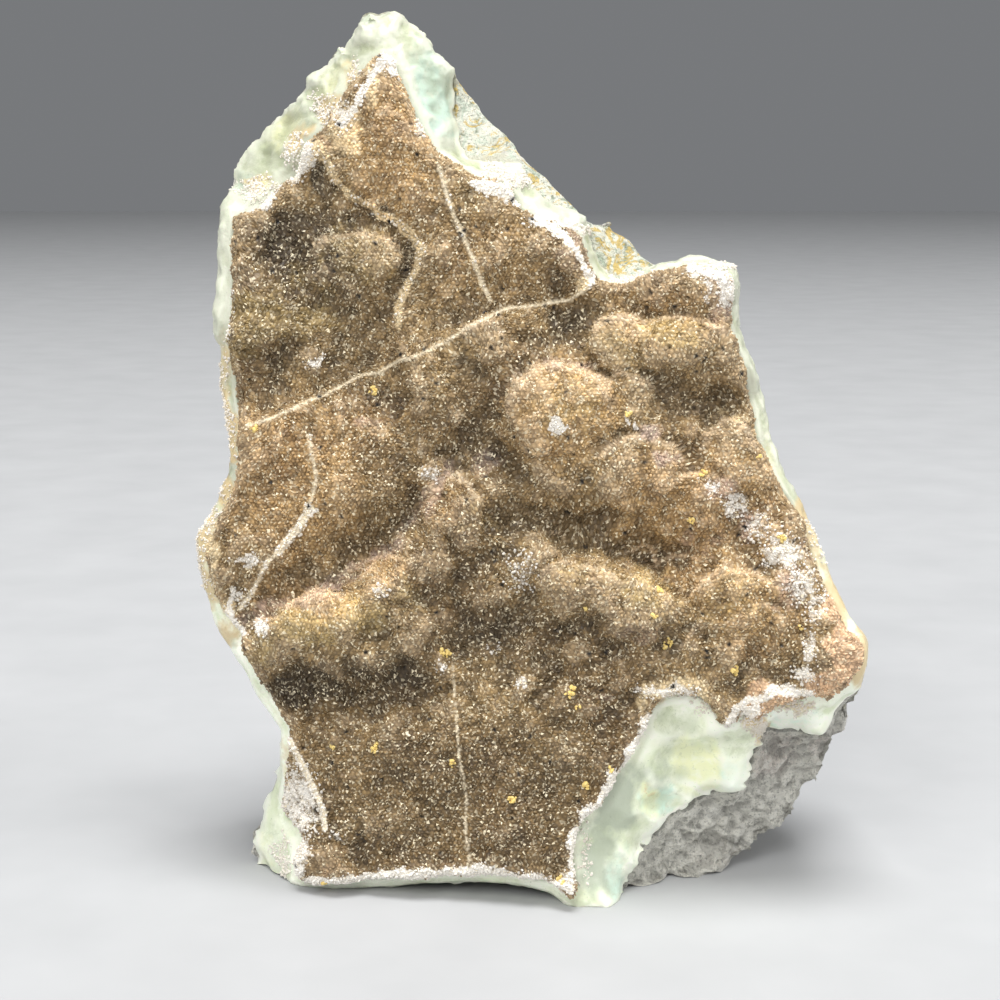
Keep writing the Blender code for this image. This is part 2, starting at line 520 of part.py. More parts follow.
def edges_of_layers():
    """The nested outlines: crust face and back, chalcedony face and back, rock."""
    rock = as_points(LEFT_RUN + TOP_ROCK + RIGHT_RUN + LOWER_ROCK + BOTTOM_RUN + FOOT_ROCK)
    back = as_points(LEFT_RUN + TOP_BAND + RIGHT_RUN + LOWER_BAND + BOTTOM_RUN + FOOT_BAND)
    back = grown(back, -ROCK_LIP)
    wide = smooth_step(from_table(back, BAND_DROP), 4.2, 8.0)
    face = grown(back, -CHALCEDONY_RIM - 0.9 * wide)
    crust = as_points(CRUST_EDGE)
    return crust, grown(crust, CRUST_RIM), face, back, rock


CRUST_FACE, CRUST_BACK, BAND_FACE, BAND_BACK, ROCK_EDGE = edges_of_layers()


def share(points, inner, outer):
    """0 within the inner outline, rising to 1 at the outer one and beyond."""
    near_inner, _ = nearest(points, inner)
    near_outer, _ = nearest(points, outer)
    part = near_inner / (near_inner + near_outer + 1e-9)
    part = np.where(inside(points, inner), 0.0, part)
    return np.where(inside(points, outer), part, 1.0)


def chalcedony_depth(points):
    """Depth of the chalcedony's face: under the crust, then falling away to its edge."""
    depth = relief(points, fine=False) + CRUST
    part = share(points, CRUST_BACK, BAND_FACE)
    open_side = np.minimum(part * 4.0, 1.0)
    depth = depth + part * (from_table(points, BAND_DROP) - CRUST)
    depth = depth + open_side * (bowls(points, SCOOPS) + steps(points, BAND_LEDGES))
    return depth + open_side * 0.22 * rough(points, 3.6, 9.0)


def rock_depth(points):
    """Depth of the rock's face: under the chalcedony, then falling away to the outline."""
    inner = grown(BAND_BACK, -5.0)
    part = np.where(inside(points, inner), 0.0, 1.0)
    near_inner, _ = nearest(points, inner)
    part = part * np.clip(near_inner / 5.0, 0.0, 1.0)
    thick = CHALCEDONY + (CHALCEDONY_EDGE - CHALCEDONY) * part
    depth = chalcedony_depth(points) + thick
    out = share(points, BAND_BACK, ROCK_EDGE)
    bare = np.minimum(out * 3.0, 1.0)
    depth = depth + out * from_table(points, ROCK_DROP)
    depth = depth + bare * steps(points, ROCK_LEDGES)
    depth = depth + bare * 0.7 * rough(points, 3.2, 21.0)
    return depth + bare * 0.5 * np.abs(rough(points, 1.7, 27.0))


def layer_grid():
    """Shared triangles: chalcedony face with crust back, rock face with chalcedony back."""
    hidden = spread(CRUST_BACK, HIDDEN_STEP, [CRUST_BACK], SEED + 1)
    shown = spread(BAND_FACE, BAND_STEP, [CRUST_BACK, BAND_FACE], SEED + 2)
    shown = shown[~inside(shown, CRUST_BACK)]
    one = triangles([BAND_FACE, CRUST_BACK], np.vstack([hidden, shown]))
    hidden = spread(BAND_BACK, HIDDEN_STEP + 0.9, [BAND_BACK], SEED + 3)
    shown = spread(ROCK_EDGE, ROCK_STEP, [BAND_BACK, ROCK_EDGE], SEED + 4)
    shown = shown[~inside(shown, BAND_BACK)]
    two = triangles([ROCK_EDGE, BAND_BACK], np.vstack([hidden, shown]))
    return one, two


def build_crust(one, material):
    """Crystal crust: bumpy face, broken rim, back parallel to the chalcedony."""
    field = spread(CRUST_FACE, CRUST_STEP, [CRUST_FACE], SEED)
    field = thinned(field, along_steps(LEDGES, CRUST_FACE, 1.7), 1.25)
    flat, faces = triangles([CRUST_FACE], field)
    faces = within(flat, faces, CRUST_FACE)
    face = place(flat, relief(flat))
    flat_back, faces_back = one
    faces_back = within(flat_back, faces_back, CRUST_BACK)
    back = place(flat_back, chalcedony_depth(flat_back) - GAP)
    shift = len(face)
    count = len(CRUST_FACE)
    first = len(BAND_FACE)
    rim = band(
        [i for i in range(count)],
        [shift + first + i for i in range(count)],
    )
    rows = [tuple(f) for f in faces] + [tuple(f + shift) for f in faces_back] + rim
    return body("druzy_crust", np.vstack([face, back]), rows, CRUST_CLEAR, material)


def build_chalcedony(one, two, material):
    """Chalcedony layer: smooth broken bands in front, back parallel to the rock."""
    flat, faces = one
    faces = within(flat, faces, BAND_FACE)
    face = place(flat, chalcedony_depth(flat))
    flat_back, faces_back = two
    faces_back = within(flat_back, faces_back, BAND_BACK)
    back = place(flat_back, rock_depth(flat_back) - GAP)
    shift = len(face)
    count = len(BAND_FACE)
    first = len(ROCK_EDGE)
    rim = band(
        [i for i in range(count)],
        [shift + first + i for i in range(count)],
    )
    rows = [tuple(f) for f in faces] + [tuple(f + shift) for f in faces_back] + rim
    return body("chalcedony_layer", np.vstack([face, back]), rows, 0.0, material)


def back_y(points):
    """Y of the rock's back at (x, height), rounded off to the sides."""
    line = as_points(BACK_LINE)
    y = np.interp(points[:, 1], line[:, 0], line[:, 1])
    y = y - BACK_ROUND * ((points[:, 0] + 2.0) / 44.0) ** 2
    y = y + 2.4 * rough(points, 15.0, 33.0) + 1.4 * rough(points, 7.0, 37.0)
    return y


def build_rock(two, material):
    """Host rock: broken face, rough sides and underside, rounded weathered back."""
    flat, faces = two
    faces = within(flat, faces, ROCK_EDGE)
    face = place(flat, rock_depth(flat)) / MM
    count = len(ROCK_EDGE)
    edge = face[:count]
    loop = edge[:, [0, 2]]
    for _ in range(3):
        loop = 0.25 * np.roll(loop, 1, axis=0) + 0.5 * loop + 0.25 * np.roll(loop, -1, axis=0)
    middle = np.array([-2.0, 52.0])
    end = middle + (loop - middle) * BACK_SHRINK
    low = loop[:, 1] < middle[1]
    end[:, 1] = np.where(low, loop[:, 1] - UNDERCUT * (1.0 - loop[:, 1] / middle[1]), end[:, 1])
    outward = (loop - middle) / np.sqrt(((loop - middle) ** 2).sum(1))[:, None]
    corners = [face]
    rows = [tuple(f) for f in faces]
    last = list(range(count))
    total = len(face)
    end_y = back_y(end)
    for k in range(1, ROCK_RINGS + 1):
        t = k / ROCK_RINGS
        # Sideways the ring closes in late, in depth it slows down, so the back edge is round
        side = t**2.6
        deep = 1.0 - (1.0 - t) ** 1.5
        spot = (1.0 - side) * edge[:, [0, 2]] + side * end
        chips = 2.2 * np.abs(rough(spot, 15.0, 45.0 + 0.35 * k))
        chips = chips + 1.8 * np.abs(rough(spot, 6.0, 50.0 + 0.6 * k))
        chips = chips + 0.8 * np.abs(rough(spot, 2.6, 60.0 + k))
        out = (ROCK_SWELL - chips) * np.sin(np.pi * t)
        spot = spot + outward * out[:, None]
        y = (1.0 - deep) * edge[:, 1] + deep * end_y
        corners.append(np.stack([spot[:, 0], y, spot[:, 1]], 1))
        now = list(range(total, total + count))
        rows += band(last, now)
        last = now
        total += count
    field = spread(end, BACK_STEP, [end], SEED + 5)
    flat_cap, faces_cap = triangles([end], field)
    faces_cap = within(flat_cap, faces_cap, end)
    y = back_y(flat_cap)
    cap = np.stack([flat_cap[:, 0], y, flat_cap[:, 1]], 1)
    corners.append(cap[count:])
    for f in faces_cap:
        rows.append(tuple(last[i] if i < count else total + i - count for i in f))
    return body("host_rock", np.vstack(corners) * MM, rows, 0.0, material)


def main():
    for item in list(bpy.data.objects):
        bpy.data.objects.remove(item, do_unlink=True)
    one, two = layer_grid()
    build_crust(one, stone("quartz druse", (0.25, 0.17, 0.11), 0.35))
    build_chalcedony(one, two, stone("chalcedony", (0.62, 0.74, 0.62), 0.30))
    build_rock(two, stone("host rock", (0.32, 0.31, 0.29), 0.85))
    # The origin goes to the middle of the footprint
    low = np.full(3, 1e9)
    high = np.full(3, -1e9)
    for item in bpy.data.objects:
        for vert in item.data.vertices:
            low = np.minimum(low, vert.co)
            high = np.maximum(high, vert.co)
    shift = Vector((-(low[0] + high[0]) / 2, -(low[1] + high[1]) / 2, -low[2]))
    for item in bpy.data.objects:
        item.data.transform(Matrix.Translation(shift))
    return shift


if __name__ == "__main__":
    main()
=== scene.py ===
"""A standing piece of a geode: a crust of brown sugar quartz on pale green chalcedony and grey rock.

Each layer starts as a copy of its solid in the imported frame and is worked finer. The marks on it are
laid out in millimetres on an upright plane at the front of the stone, as (across, up), and reach the
stone along the lines of sight from one fixed point in front of it.
"""

import json
import math

import bpy
import numpy as np
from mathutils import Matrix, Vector
from mathutils.bvhtree import BVHTree
from mathutils.kdtree import KDTree
from mathutils.noise import noise

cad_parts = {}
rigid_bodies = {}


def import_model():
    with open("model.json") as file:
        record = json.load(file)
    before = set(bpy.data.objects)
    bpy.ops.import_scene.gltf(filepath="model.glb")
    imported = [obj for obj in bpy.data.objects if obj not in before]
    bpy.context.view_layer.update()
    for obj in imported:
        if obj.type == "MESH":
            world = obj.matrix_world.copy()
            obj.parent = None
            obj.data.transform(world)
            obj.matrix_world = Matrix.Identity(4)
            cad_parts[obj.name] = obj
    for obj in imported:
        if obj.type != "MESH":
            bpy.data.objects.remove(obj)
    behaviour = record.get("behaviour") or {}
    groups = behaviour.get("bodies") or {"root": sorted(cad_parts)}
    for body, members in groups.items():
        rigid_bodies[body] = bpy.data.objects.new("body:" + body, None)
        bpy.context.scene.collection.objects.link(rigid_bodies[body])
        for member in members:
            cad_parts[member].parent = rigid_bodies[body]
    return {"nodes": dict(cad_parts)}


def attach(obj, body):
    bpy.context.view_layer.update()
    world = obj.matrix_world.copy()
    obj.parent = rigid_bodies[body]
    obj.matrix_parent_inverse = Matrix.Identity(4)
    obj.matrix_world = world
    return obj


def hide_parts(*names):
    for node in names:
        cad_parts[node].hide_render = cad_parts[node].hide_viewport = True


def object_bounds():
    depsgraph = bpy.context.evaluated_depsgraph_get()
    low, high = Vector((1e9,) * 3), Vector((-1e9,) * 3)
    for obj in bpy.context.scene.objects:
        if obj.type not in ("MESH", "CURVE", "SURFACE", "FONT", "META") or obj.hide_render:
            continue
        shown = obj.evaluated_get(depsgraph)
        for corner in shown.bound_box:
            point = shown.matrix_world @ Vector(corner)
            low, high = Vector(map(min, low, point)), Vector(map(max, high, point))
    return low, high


bl_info = {
    "name": "Standing geode piece",
    "version": (1, 0, 0),
    "blender": (4, 5, 0),
    "location": "View3D > Sidebar > Geode",
    "description": "Builds the crystal crust, the chalcedony band and the host rock of a geode piece",
    "category": "Object",
}

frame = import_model()
CAD_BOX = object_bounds()

MM = 0.001
SEED = 41

# The marking plane and the point that the marks are seen from, in millimetres
RECENTRE = np.array([0.961, -2.373, 0.0])
SIGHT = np.array([-4.5, -279.57, 102.39])
PLANE_Y = -24.0
PLANE_LEAN = 0.10

# Pale healed cracks in the crust: half width, how far they stand up, how many crystals, points
VEINS = [
    (0.22, 0.22, 0.1, [(-12.4, 99.9), (-11.2, 95.5), (-10.6, 93.5), (-9.3, 90.9), (-7.8, 87.0),
                       (-5.8, 82.5)]),
    (0.16, 0.24, 0.0, [(-38.0, 66.1), (-34.9, 67.1), (-31.7, 68.5), (-29.9, 69.4), (-27.3, 70.3),
                       (-24.9, 71.6), (-23.0, 72.7), (-20.3, 73.2), (-17.7, 74.8), (-15.0, 75.5),
                       (-11.4, 77.4), (-8.4, 79.3), (-4.0, 81.4), (0.8, 82.0), (4.6, 82.6),
                       (7.6, 84.4)]),
    (0.17, 0.18, 0.2, [(-29.9, 65.0), (-29.4, 62.2), (-28.9, 59.3), (-29.3, 56.9), (-30.0, 55.4)]),
    (0.40, 0.36, 0.7, [(-30.0, 55.4), (-30.0, 54.6), (-31.1, 52.9), (-32.4, 51.3), (-34.0, 49.5)]),
    (0.20, 0.24, 0.5, [(-34.0, 49.5), (-35.3, 48.1), (-36.4, 46.0), (-38.0, 43.3), (-39.3, 41.7)]),
    (0.10, 0.14, 0.0, [(-10.8, 34.4), (-10.2, 24.8), (-9.9, 22.1), (-9.4, 18.9), (-9.1, 15.9),
                       (-9.1, 12.6), (-8.8, 9.4), (-8.3, 7.2)]),
    (0.30, 0.34, 0.8, [(-33.3, 25.0), (-32.5, 24.0), (-31.5, 22.0), (-30.5, 20.0), (-29.3, 17.5),
                       (-28.3, 15.0), (-28.0, 12.3)]),
]

# Light edge of the slab at the upper left
SLAB_EDGE = [(-27.5, 102.0), (-26.0, 98.5), (-24.0, 96.5), (-20.0, 94.0), (-17.6, 92.7),
             (-15.5, 90.9), (-14.7, 89.4), (-15.0, 87.2), (-16.3, 84.9), (-17.9, 82.0),
             (-17.6, 79.2)]
# Lines of white crystals along the edges of the crust: half width, points
FROSTED_EDGES = [
    (0.55, [(4.9, 4.4), (5.5, 10.6), (7.2, 14.2), (9.3, 16.4), (10.9, 18.6), (13.2, 22.4), (14.3, 25.6)]),
    (0.60, [(-33.4, 3.8), (-29.0, 4.9), (-24.0, 5.2), (-20.0, 6.0), (-13.0, 6.1), (-7.0, 6.4), (-0.6, 5.3),
            (4.6, 4.4)]),
    (0.55, [(-41.0, 94.4), (-37.3, 95.2), (-35.2, 96.6), (-33.6, 97.4)]),
    (0.50, [(-25.4, 105.6), (-23.4, 107.4), (-21.4, 111.2), (-19.4, 114.2), (-18.0, 111.6)]),
    (0.45, [(-8.6, 98.0), (-3.8, 96.4), (0.8, 93.2), (5.6, 89.2), (7.6, 85.0)]),
    (0.50, [(20.6, 86.8), (24.6, 86.0), (26.2, 82.6)]),
    (0.50, [(19.6, 29.0), (22.8, 27.2), (25.4, 25.2), (27.4, 28.6), (32.0, 31.0), (37.0, 30.8)]),
    (0.40, [(-41.2, 92.0), (-40.9, 84.0), (-40.6, 78.0)]),
    (0.45, [(-40.4, 44.0), (-40.2, 41.0), (-38.6, 38.8)]),
]
# Small white chips that lie on the crust: across, up, radius
CHIPS = [
    (2.7, 66.3, 1.1), (3.4, 65.4, 0.8), (13.2, 66.2, 0.6), (12.0, 67.0, 0.4), (-29.4, 54.9, 0.7),
]
# Upper edge of the ridge across the lower half
RIDGE_EDGE = [(-39.4, 39.8), (-35.4, 41.4), (-31.8, 42.5), (-25.1, 46.1), (-18.4, 50.2),
              (-14.3, 55.3), (-11.8, 60.4)]

# Patches on the crust, each as across, up, half width, half height, strength
SUGAR = [
    (-37.3, 95.3, 3.4, 1.3, 0.9), (-34.9, 96.6, 1.6, 1.2, 0.9), (-30.9, 101.0, 2.6, 2.6, 0.8),
    (-31.6, 99.2, 1.8, 1.6, 0.7), (-25.0, 106.2, 1.6, 2.6, 0.5), (-19.6, 113.2, 1.2, 1.8, 0.6),
    (-15.0, 105.4, 1.2, 1.8, 0.5), (-5.0, 97.4, 3.2, 1.2, 0.6), (0.6, 92.8, 2.0, 1.0, 0.6),
    (24.2, 86.2, 3.0, 1.2, 0.7), (25.4, 83.6, 0.9, 2.6, 0.7), (22.8, 84.2, 0.6, 2.4, 0.5),
    (21.4, 86.4, 1.2, 0.8, 0.6), (23.4, 58.2, 1.4, 1.6, 0.5), (26.6, 55.8, 1.9, 2.2, 0.5),
    (29.4, 52.6, 2.6, 2.6, 0.4), (33.0, 49.4, 3.4, 3.0, 0.6), (35.6, 45.4, 2.4, 3.2, 0.5),
    (37.6, 41.8, 1.8, 3.0, 0.45), (37.0, 37.0, 1.0, 3.0, 0.5), (36.0, 33.0, 2.2, 1.2, 0.6),
    (-38.0, 48.2, 2.2, 0.9, 0.6), (-28.9, 74.6, 1.4, 1.0, 0.6), (-13.8, 60.0, 2.0, 1.0, 0.45),
    (5.6, 96.4, 1.0, 0.9, 0.5), (-3.8, 95.6, 0.7, 0.7, 0.6),
    (-31.6, 15.6, 3.4, 6.4, 0.6), (-31.6, 9.6, 2.0, 3.4, 0.6), (-32.0, 6.6, 1.2, 1.8, 0.8),
    (-29.9, 4.9, 2.0, 0.8, 0.8), (-24.0, 5.2, 2.4, 1.0, 0.95), (-20.0, 6.2, 1.6, 0.8, 0.6),
    (-13.0, 6.2, 3.6, 0.9, 0.95), (-7.0, 6.4, 2.2, 1.3, 0.9), (-0.6, 5.4, 3.2, 1.2, 0.8),
    (4.4, 5.2, 1.2, 1.6, 0.7), (5.7, 10.6, 0.8, 1.8, 0.7), (7.4, 14.2, 1.5, 1.6, 0.9),
    (10.9, 18.4, 1.2, 2.2, 0.9), (13.6, 23.4, 0.9, 2.0, 0.7), (15.2, 26.8, 0.8, 1.4, 0.6),
    (25.6, 25.6, 1.0, 1.0, 0.7), (29.0, 28.2, 1.6, 1.1, 0.9), (34.2, 30.6, 2.6, 1.0, 0.7),
    (-40.6, 84.0, 0.8, 6.0, 0.7), (-40.8, 39.6, 1.0, 2.6, 0.8), (-36.2, 39.2, 1.6, 1.2, 0.6),
    (-39.2, 43.4, 1.4, 1.2, 0.4), (-20.4, 44.2, 1.4, 1.2, 0.4), (-1.6, 46.8, 3.2, 3.0, 0.3),
    (14.6, 30.8, 1.8, 0.9, 0.5), (18.4, 30.9, 4.6, 1.0, 0.6), (-12.1, 34.2, 1.2, 1.0, 0.55),
    (-1.6, 32.2, 1.3, 1.0, 0.55), (-5.6, 36.4, 1.2, 1.0, 0.3), (-26.6, 11.0, 2.0, 0.8, 0.4),
]
CREAM = [
    (-24.6, 104.6, 3.0, 4.4, 0.9), (-29.0, 101.4, 2.8, 2.4, 0.7), (-21.6, 110.6, 1.6, 4.0, 0.7),
    (-41.0, 66.0, 1.1, 12.0, 0.9), (-43.2, 50.0, 1.4, 6.0, 0.8), (-41.4, 40.6, 1.4, 4.6, 0.8),
    (-40.6, 78.0, 0.8, 6.0, 0.5), (7.2, 84.0, 1.2, 1.4, 1.0), (4.4, 88.8, 2.4, 3.0, 0.35),
    (24.0, 67.8, 1.6, 0.5, 0.5), (27.6, 66.8, 2.6, 0.5, 0.6), (30.4, 64.6, 0.8, 4.0, 0.5),
    (18.4, 31.2, 4.8, 1.2, 1.3), (14.7, 29.4, 1.3, 1.6, 1.2), (22.4, 29.6, 1.2, 1.6, 1.1), 
    (9.6, 64.8, 8.0, 8.0, 0.12), (33.0, 57.0, 1.6, 4.0, 0.35),
    (-9.0, 99.8, 2.4, 1.0, 0.5), (-32.0, 3.9, 3.0, 0.8, 0.4),
]
PEACH = [
    (40.0, 43.4, 2.4, 4.6, 1.0), (41.8, 36.4, 3.2, 5.2, 1.3), (29.8, 29.4, 2.0, 3.0, 1.3),
    (32.0, 29.4, 4.2, 1.6, 1.2), (38.4, 32.0, 3.2, 2.4, 1.0), (-26.4, 103.2, 2.2, 2.0, 0.5),
    (-23.4, 105.4, 1.6, 1.6, 0.4), (18.0, 31.0, 2.6, 0.7, 0.4), (-27.4, 7.4, 2.0, 2.0, 0.35),
    (-40.6, 71.9, 0.7, 2.2, 0.6), (-43.0, 53.0, 1.2, 3.4, 0.35), (39.2, 48.4, 1.2, 3.6, 0.5),
    (12.0, 50.0, 5.0, 4.0, 0.10), (16.0, 22.0, 0.9, 1.6, 0.3), (-2.4, 87.6, 4.0, 4.0, 0.12),
]
GOLD = [
    (-36.4, 80.6, 5.0, 3.8, 0.9), (-29.6, 80.0, 4.4, 3.2, 0.6), (-39.0, 76.4, 2.6, 3.0, 0.7),
    (18.0, 78.2, 5.2, 2.4, 0.8), (-30.4, 39.6, 5.6, 3.0, 0.9), (-23.6, 41.2, 4.4, 3.4, 0.8),
    (-36.2, 36.4, 3.0, 3.0, 0.6), (-17.0, 43.6, 3.4, 3.4, 0.4), (7.0, 46.6, 5.4, 3.4, 0.45),
    (14.6, 44.6, 4.4, 3.6, 0.7), (-23.0, 88.6, 6.0, 5.6, 0.4), (5.0, 68.4, 6.6, 5.4, 0.35),
    (26.4, 43.0, 5.6, 5.0, 0.35), (11.6, 77.0, 4.0, 3.6, 0.35), (-8.0, 53.0, 4.6, 3.6, 0.3),
    (-33.0, 84.0, 7.0, 4.0, 0.4), (12.0, 87.0, 3.6, 2.0, 0.3), (20.6, 42.0, 5.0, 3.0, 0.3),
]
LILAC = [
    (14.9, 65.2, 2.2, 1.8, 0.9), (17.2, 62.0, 2.0, 1.4, 0.7), (24.8, 57.6, 2.6, 2.0, 0.7),
    (28.6, 53.0, 2.6, 2.4, 0.6), (34.2, 44.6, 2.6, 4.6, 0.6), (8.9, 29.9, 1.8, 0.8, 0.5),
    (5.0, 74.4, 5.0, 1.0, 0.5), (5.4, 90.4, 4.6, 4.0, 0.4), (24.6, 83.0, 2.4, 4.0, 0.6),
    (14.0, 38.6, 3.6, 1.6, 0.4), (-6.0, 61.6, 3.0, 2.6, 0.5), (36.0, 50.0, 2.4, 4.0, 0.3),
    (-34.0, 18.0, 1.6, 4.6, 0.5), (22.0, 50.0, 4.0, 4.0, 0.25), (-22.0, 66.4, 2.6, 1.2, 0.4),
]
# Smoky grey tone of the crust in the hollow at the upper left, with painted shade beside the slab edge, under the ridge
# and over the lower half
SMOKE_AND_SHADE = [
    (-30.4, 89.6, 8.6, 5.4, 1.1), (-21.6, 93.0, 5.6, 2.2, 1.1), (-16.9, 87.0, 1.5, 4.4, 1.1),
    (-27.8, 98.6, 1.7, 3.4, 1.2), (-30.0, 84.0, 11.0, 12.0, 0.55), (-33.4, 74.2, 5.4, 3.0, 0.6), (-36.8, 91.6, 3.4, 3.0, 0.5),
    (-31.0, 31.2, 8.6, 3.0, 0.9), (-20.0, 33.4, 8.0, 3.4, 0.6), (-6.6, 38.6, 7.0, 4.6, 0.7),
    (-5.4, 62.4, 2.4, 2.6, 0.7), (4.6, 80.2, 4.4, 1.8, 0.7), (16.4, 48.2, 5.0, 1.8, 0.6),
    (24.4, 69.4, 4.6, 1.8, 0.4), (-12.0, 66.0, 6.0, 5.0, 0.3), (-33.0, 52.0, 4.4, 4.6, 0.25),
    (8.0, 40.4, 5.4, 1.8, 0.6), (2.0, 24.0, 8.0, 6.0, 0.30), (-16.0, 12.0, 12.0, 6.0, 0.30),
    (0.0, 10.0, 6.0, 4.0, 0.4), (-2.0, 52.6, 5.0, 1.6, 0.4), (24.0, 34.0, 4.0, 3.0, 0.25),
    (-30.6, 12.8, 0.8, 2.0, 0.3), (-8.0, 26.0, 9.0, 5.0, 0.25), (-10.0, 17.0, 26.0, 16.0, 0.34),
    (0.0, 14.0, 16.0, 12.0, 0.36), (-14.0, 40.0, 12.0, 6.0, 0.30), (2.0, 38.0, 7.0, 5.0, 0.40),
]
# Painted shade on the parts of the crust that lie in shade, and painted light on its lit parts
PAINTED_SHADE_PATCHES = [
    (-10.0, 16.0, 30.0, 15.0, 1.1), (8.0, 24.0, 11.0, 13.0, 1.3), (-30.0, 80.0, 10.0, 7.0, 0.7),
    (-36.0, 81.0, 9.0, 9.0, 1.3), (-9.0, 49.0, 8.0, 9.0, 0.7), (-24.0, 31.0, 16.0, 4.6, 1.2),
    (4.0, 37.0, 10.0, 5.0, 0.7), (-30.0, 90.0, 8.0, 5.0, 0.4), (-4.0, 61.6, 3.6, 3.0, 0.7),
    (-20.0, 57.0, 7.0, 7.0, 1.2), (12.0, 50.4, 6.0, 3.0, 0.6), (-8.0, 70.0, 8.0, 3.4, 0.5),
]
PAINTED_LIGHT_PATCHES = [
    (-18.6, 102.0, 7.0, 11.0, 1.1), (4.4, 68.0, 9.0, 9.0, 1.0), (22.0, 54.0, 13.0, 12.0, 1.2),
    (-32.0, 59.0, 11.0, 12.0, 1.0), (-29.6, 42.4, 9.0, 3.4, 1.1), (-20.4, 47.0, 4.6, 3.4, 0.9),
    (30.0, 42.0, 8.0, 8.0, 0.8), (17.0, 80.0, 10.0, 6.0, 0.6), (-13.0, 56.0, 4.0, 4.6, 0.7),
    (8.0, 47.0, 7.0, 3.0, 0.4), (-7.0, 88.0, 8.0, 8.0, 0.4), (-24.0, 66.0, 8.0, 5.0, 0.6),
]
# Where the crust lies smooth, without small lumps
SMOOTH = [
    (-10.0, 17.0, 18.0, 12.0, 1.0), (-29.0, 56.0, 11.0, 9.0, 0.9), (-17.0, 102.0, 7.0, 12.0, 0.9),
    (-20.0, 60.0, 9.0, 6.0, 0.7), (-38.0, 60.0, 4.0, 10.0, 0.8), (-4.0, 90.0, 6.0, 8.0, 0.5),
    (4.0, 22.0, 8.0, 7.0, 0.7), (-14.0, 85.0, 4.0, 8.0, 0.5),
]
# Small grains of ochre on the crust: across, up, radius
OCHRE = [
    (-26.9, 23.3, 0.5), (-21.3, 23.0, 0.6), (-10.9, 21.0, 0.6), (5.0, 30.6, 0.7), (6.2, 28.7, 0.5),
    (7.1, 18.3, 0.5), (-2.9, 16.2, 0.6), (3.5, 5.4, 0.5), (26.9, 33.7, 0.6), (35.4, 39.4, 0.5),
    (18.0, 37.3, 0.7), (16.1, 40.9, 0.4), (16.8, 44.3, 0.4), (32.8, 51.4, 0.6), (20.9, 53.6, 0.5),
    (22.3, 59.8, 0.5), (12.5, 67.5, 0.5), (-11.8, 36.0, 0.7), (-21.3, 70.7, 0.5),
    (-36.9, 65.6, 0.5), (10.4, 20.3, 0.6), (-28.2, 4.9, 0.5), (29.8, 62.0, 0.4), (6.9, 42.0, 0.4),
]
# Rounded lumps of the crust, crisper than in the solid: across, up, half width, half height, height
DOMES = [
    (3.2, 67.6, 8.0, 7.6, 1.5), (11.4, 77.0, 4.4, 4.0, 1.1), (12.4, 69.8, 3.4, 3.8, 0.9),
    (-6.4, 77.4, 3.4, 3.2, 0.9), (19.0, 77.0, 7.6, 3.8, 1.1), (20.0, 84.2, 7.4, 3.4, 0.9),
    (14.4, 60.4, 6.4, 4.8, 1.2), (25.8, 63.0, 3.8, 4.6, 1.0), (22.6, 57.0, 4.4, 4.0, 0.9),
    (26.4, 42.6, 6.2, 4.8, 0.7), (23.4, 36.0, 4.8, 3.8, 0.6), (13.6, 41.8, 5.2, 4.0, 1.1),
    (6.4, 44.4, 5.6, 4.0, 1.1), (14.6, 47.4, 3.0, 2.6, 0.8), (-10.6, 55.4, 4.6, 5.0, 0.9), (-14.6, 50.0, 4.6, 4.4, 0.4),
    (-20.0, 45.0, 6.4, 4.2, 0.6), (-28.6, 40.0, 6.4, 4.2, 0.9), (-34.4, 38.0, 4.6, 3.6, 0.8),
    (-13.6, 59.4, 2.6, 2.2, 0.8), (-23.0, 87.4, 7.0, 4.6, 0.8), (-12.1, 33.6, 1.7, 1.6, 0.7),
    (-1.6, 31.6, 1.9, 1.5, 0.7), (-13.9, 28.4, 1.4, 1.2, 0.3), (15.0, 65.0, 1.7, 1.5, 0.7),
    (17.2, 61.8, 1.4, 1.2, 0.5), (-28.9, 74.2, 2.0, 1.6, 0.6), (-25.5, 69.4, 1.8, 1.2, 0.4),
    (-22.0, 66.0, 2.0, 1.2, 0.5), (-17.4, 64.8, 1.2, 1.0, 0.3), (2.6, 29.4, 2.2, 1.8, 0.5),
    (10.4, 33.2, 2.6, 2.2, 0.7), (-4.4, 29.0, 1.4, 1.2, 0.3), (-26.8, 8.0, 2.6, 2.2, 0.7),
    (30.0, 59.6, 2.2, 2.2, 0.7), (20.6, 66.4, 2.4, 2.2, 0.7), (10.2, 61.0, 2.2, 2.0, 0.5),
    (-9.4, 83.8, 2.2, 2.6, 0.4), (25.0, 80.0, 2.0, 2.0, 0.6), (33.2, 46.2, 2.4, 3.0, 0.7),
    (31.0, 40.0, 2.6, 2.6, 0.7), (1.0, 50.2, 3.4, 2.6, 0.7), (34.4, 53.0, 1.8, 2.4, 0.4),
    (-36.6, 86.4, 3.0, 3.6, 0.5), (-36.4, 79.0, 4.4, 2.6, 0.6), (-2.4, 90.0, 3.2, 2.6, 0.4),
    (4.8, 87.6, 2.8, 2.6, 0.4), (40.4, 36.0, 3.2, 3.4, 0.7), (30.0, 31.0, 1.6, 3.0, 0.5),
    (-18.6, 102.0, 4.6, 6.0, 0.5), (30.8, 51.0, 2.4, 2.0, 0.5), (19.4, 47.0, 3.2, 2.2, 0.6),
    (5.2, 36.0, 2.4, 2.0, 0.5), (-5.4, 36.0, 1.9, 1.5, 0.5), (17.6, 34.6, 2.4, 2.0, 0.4),
]
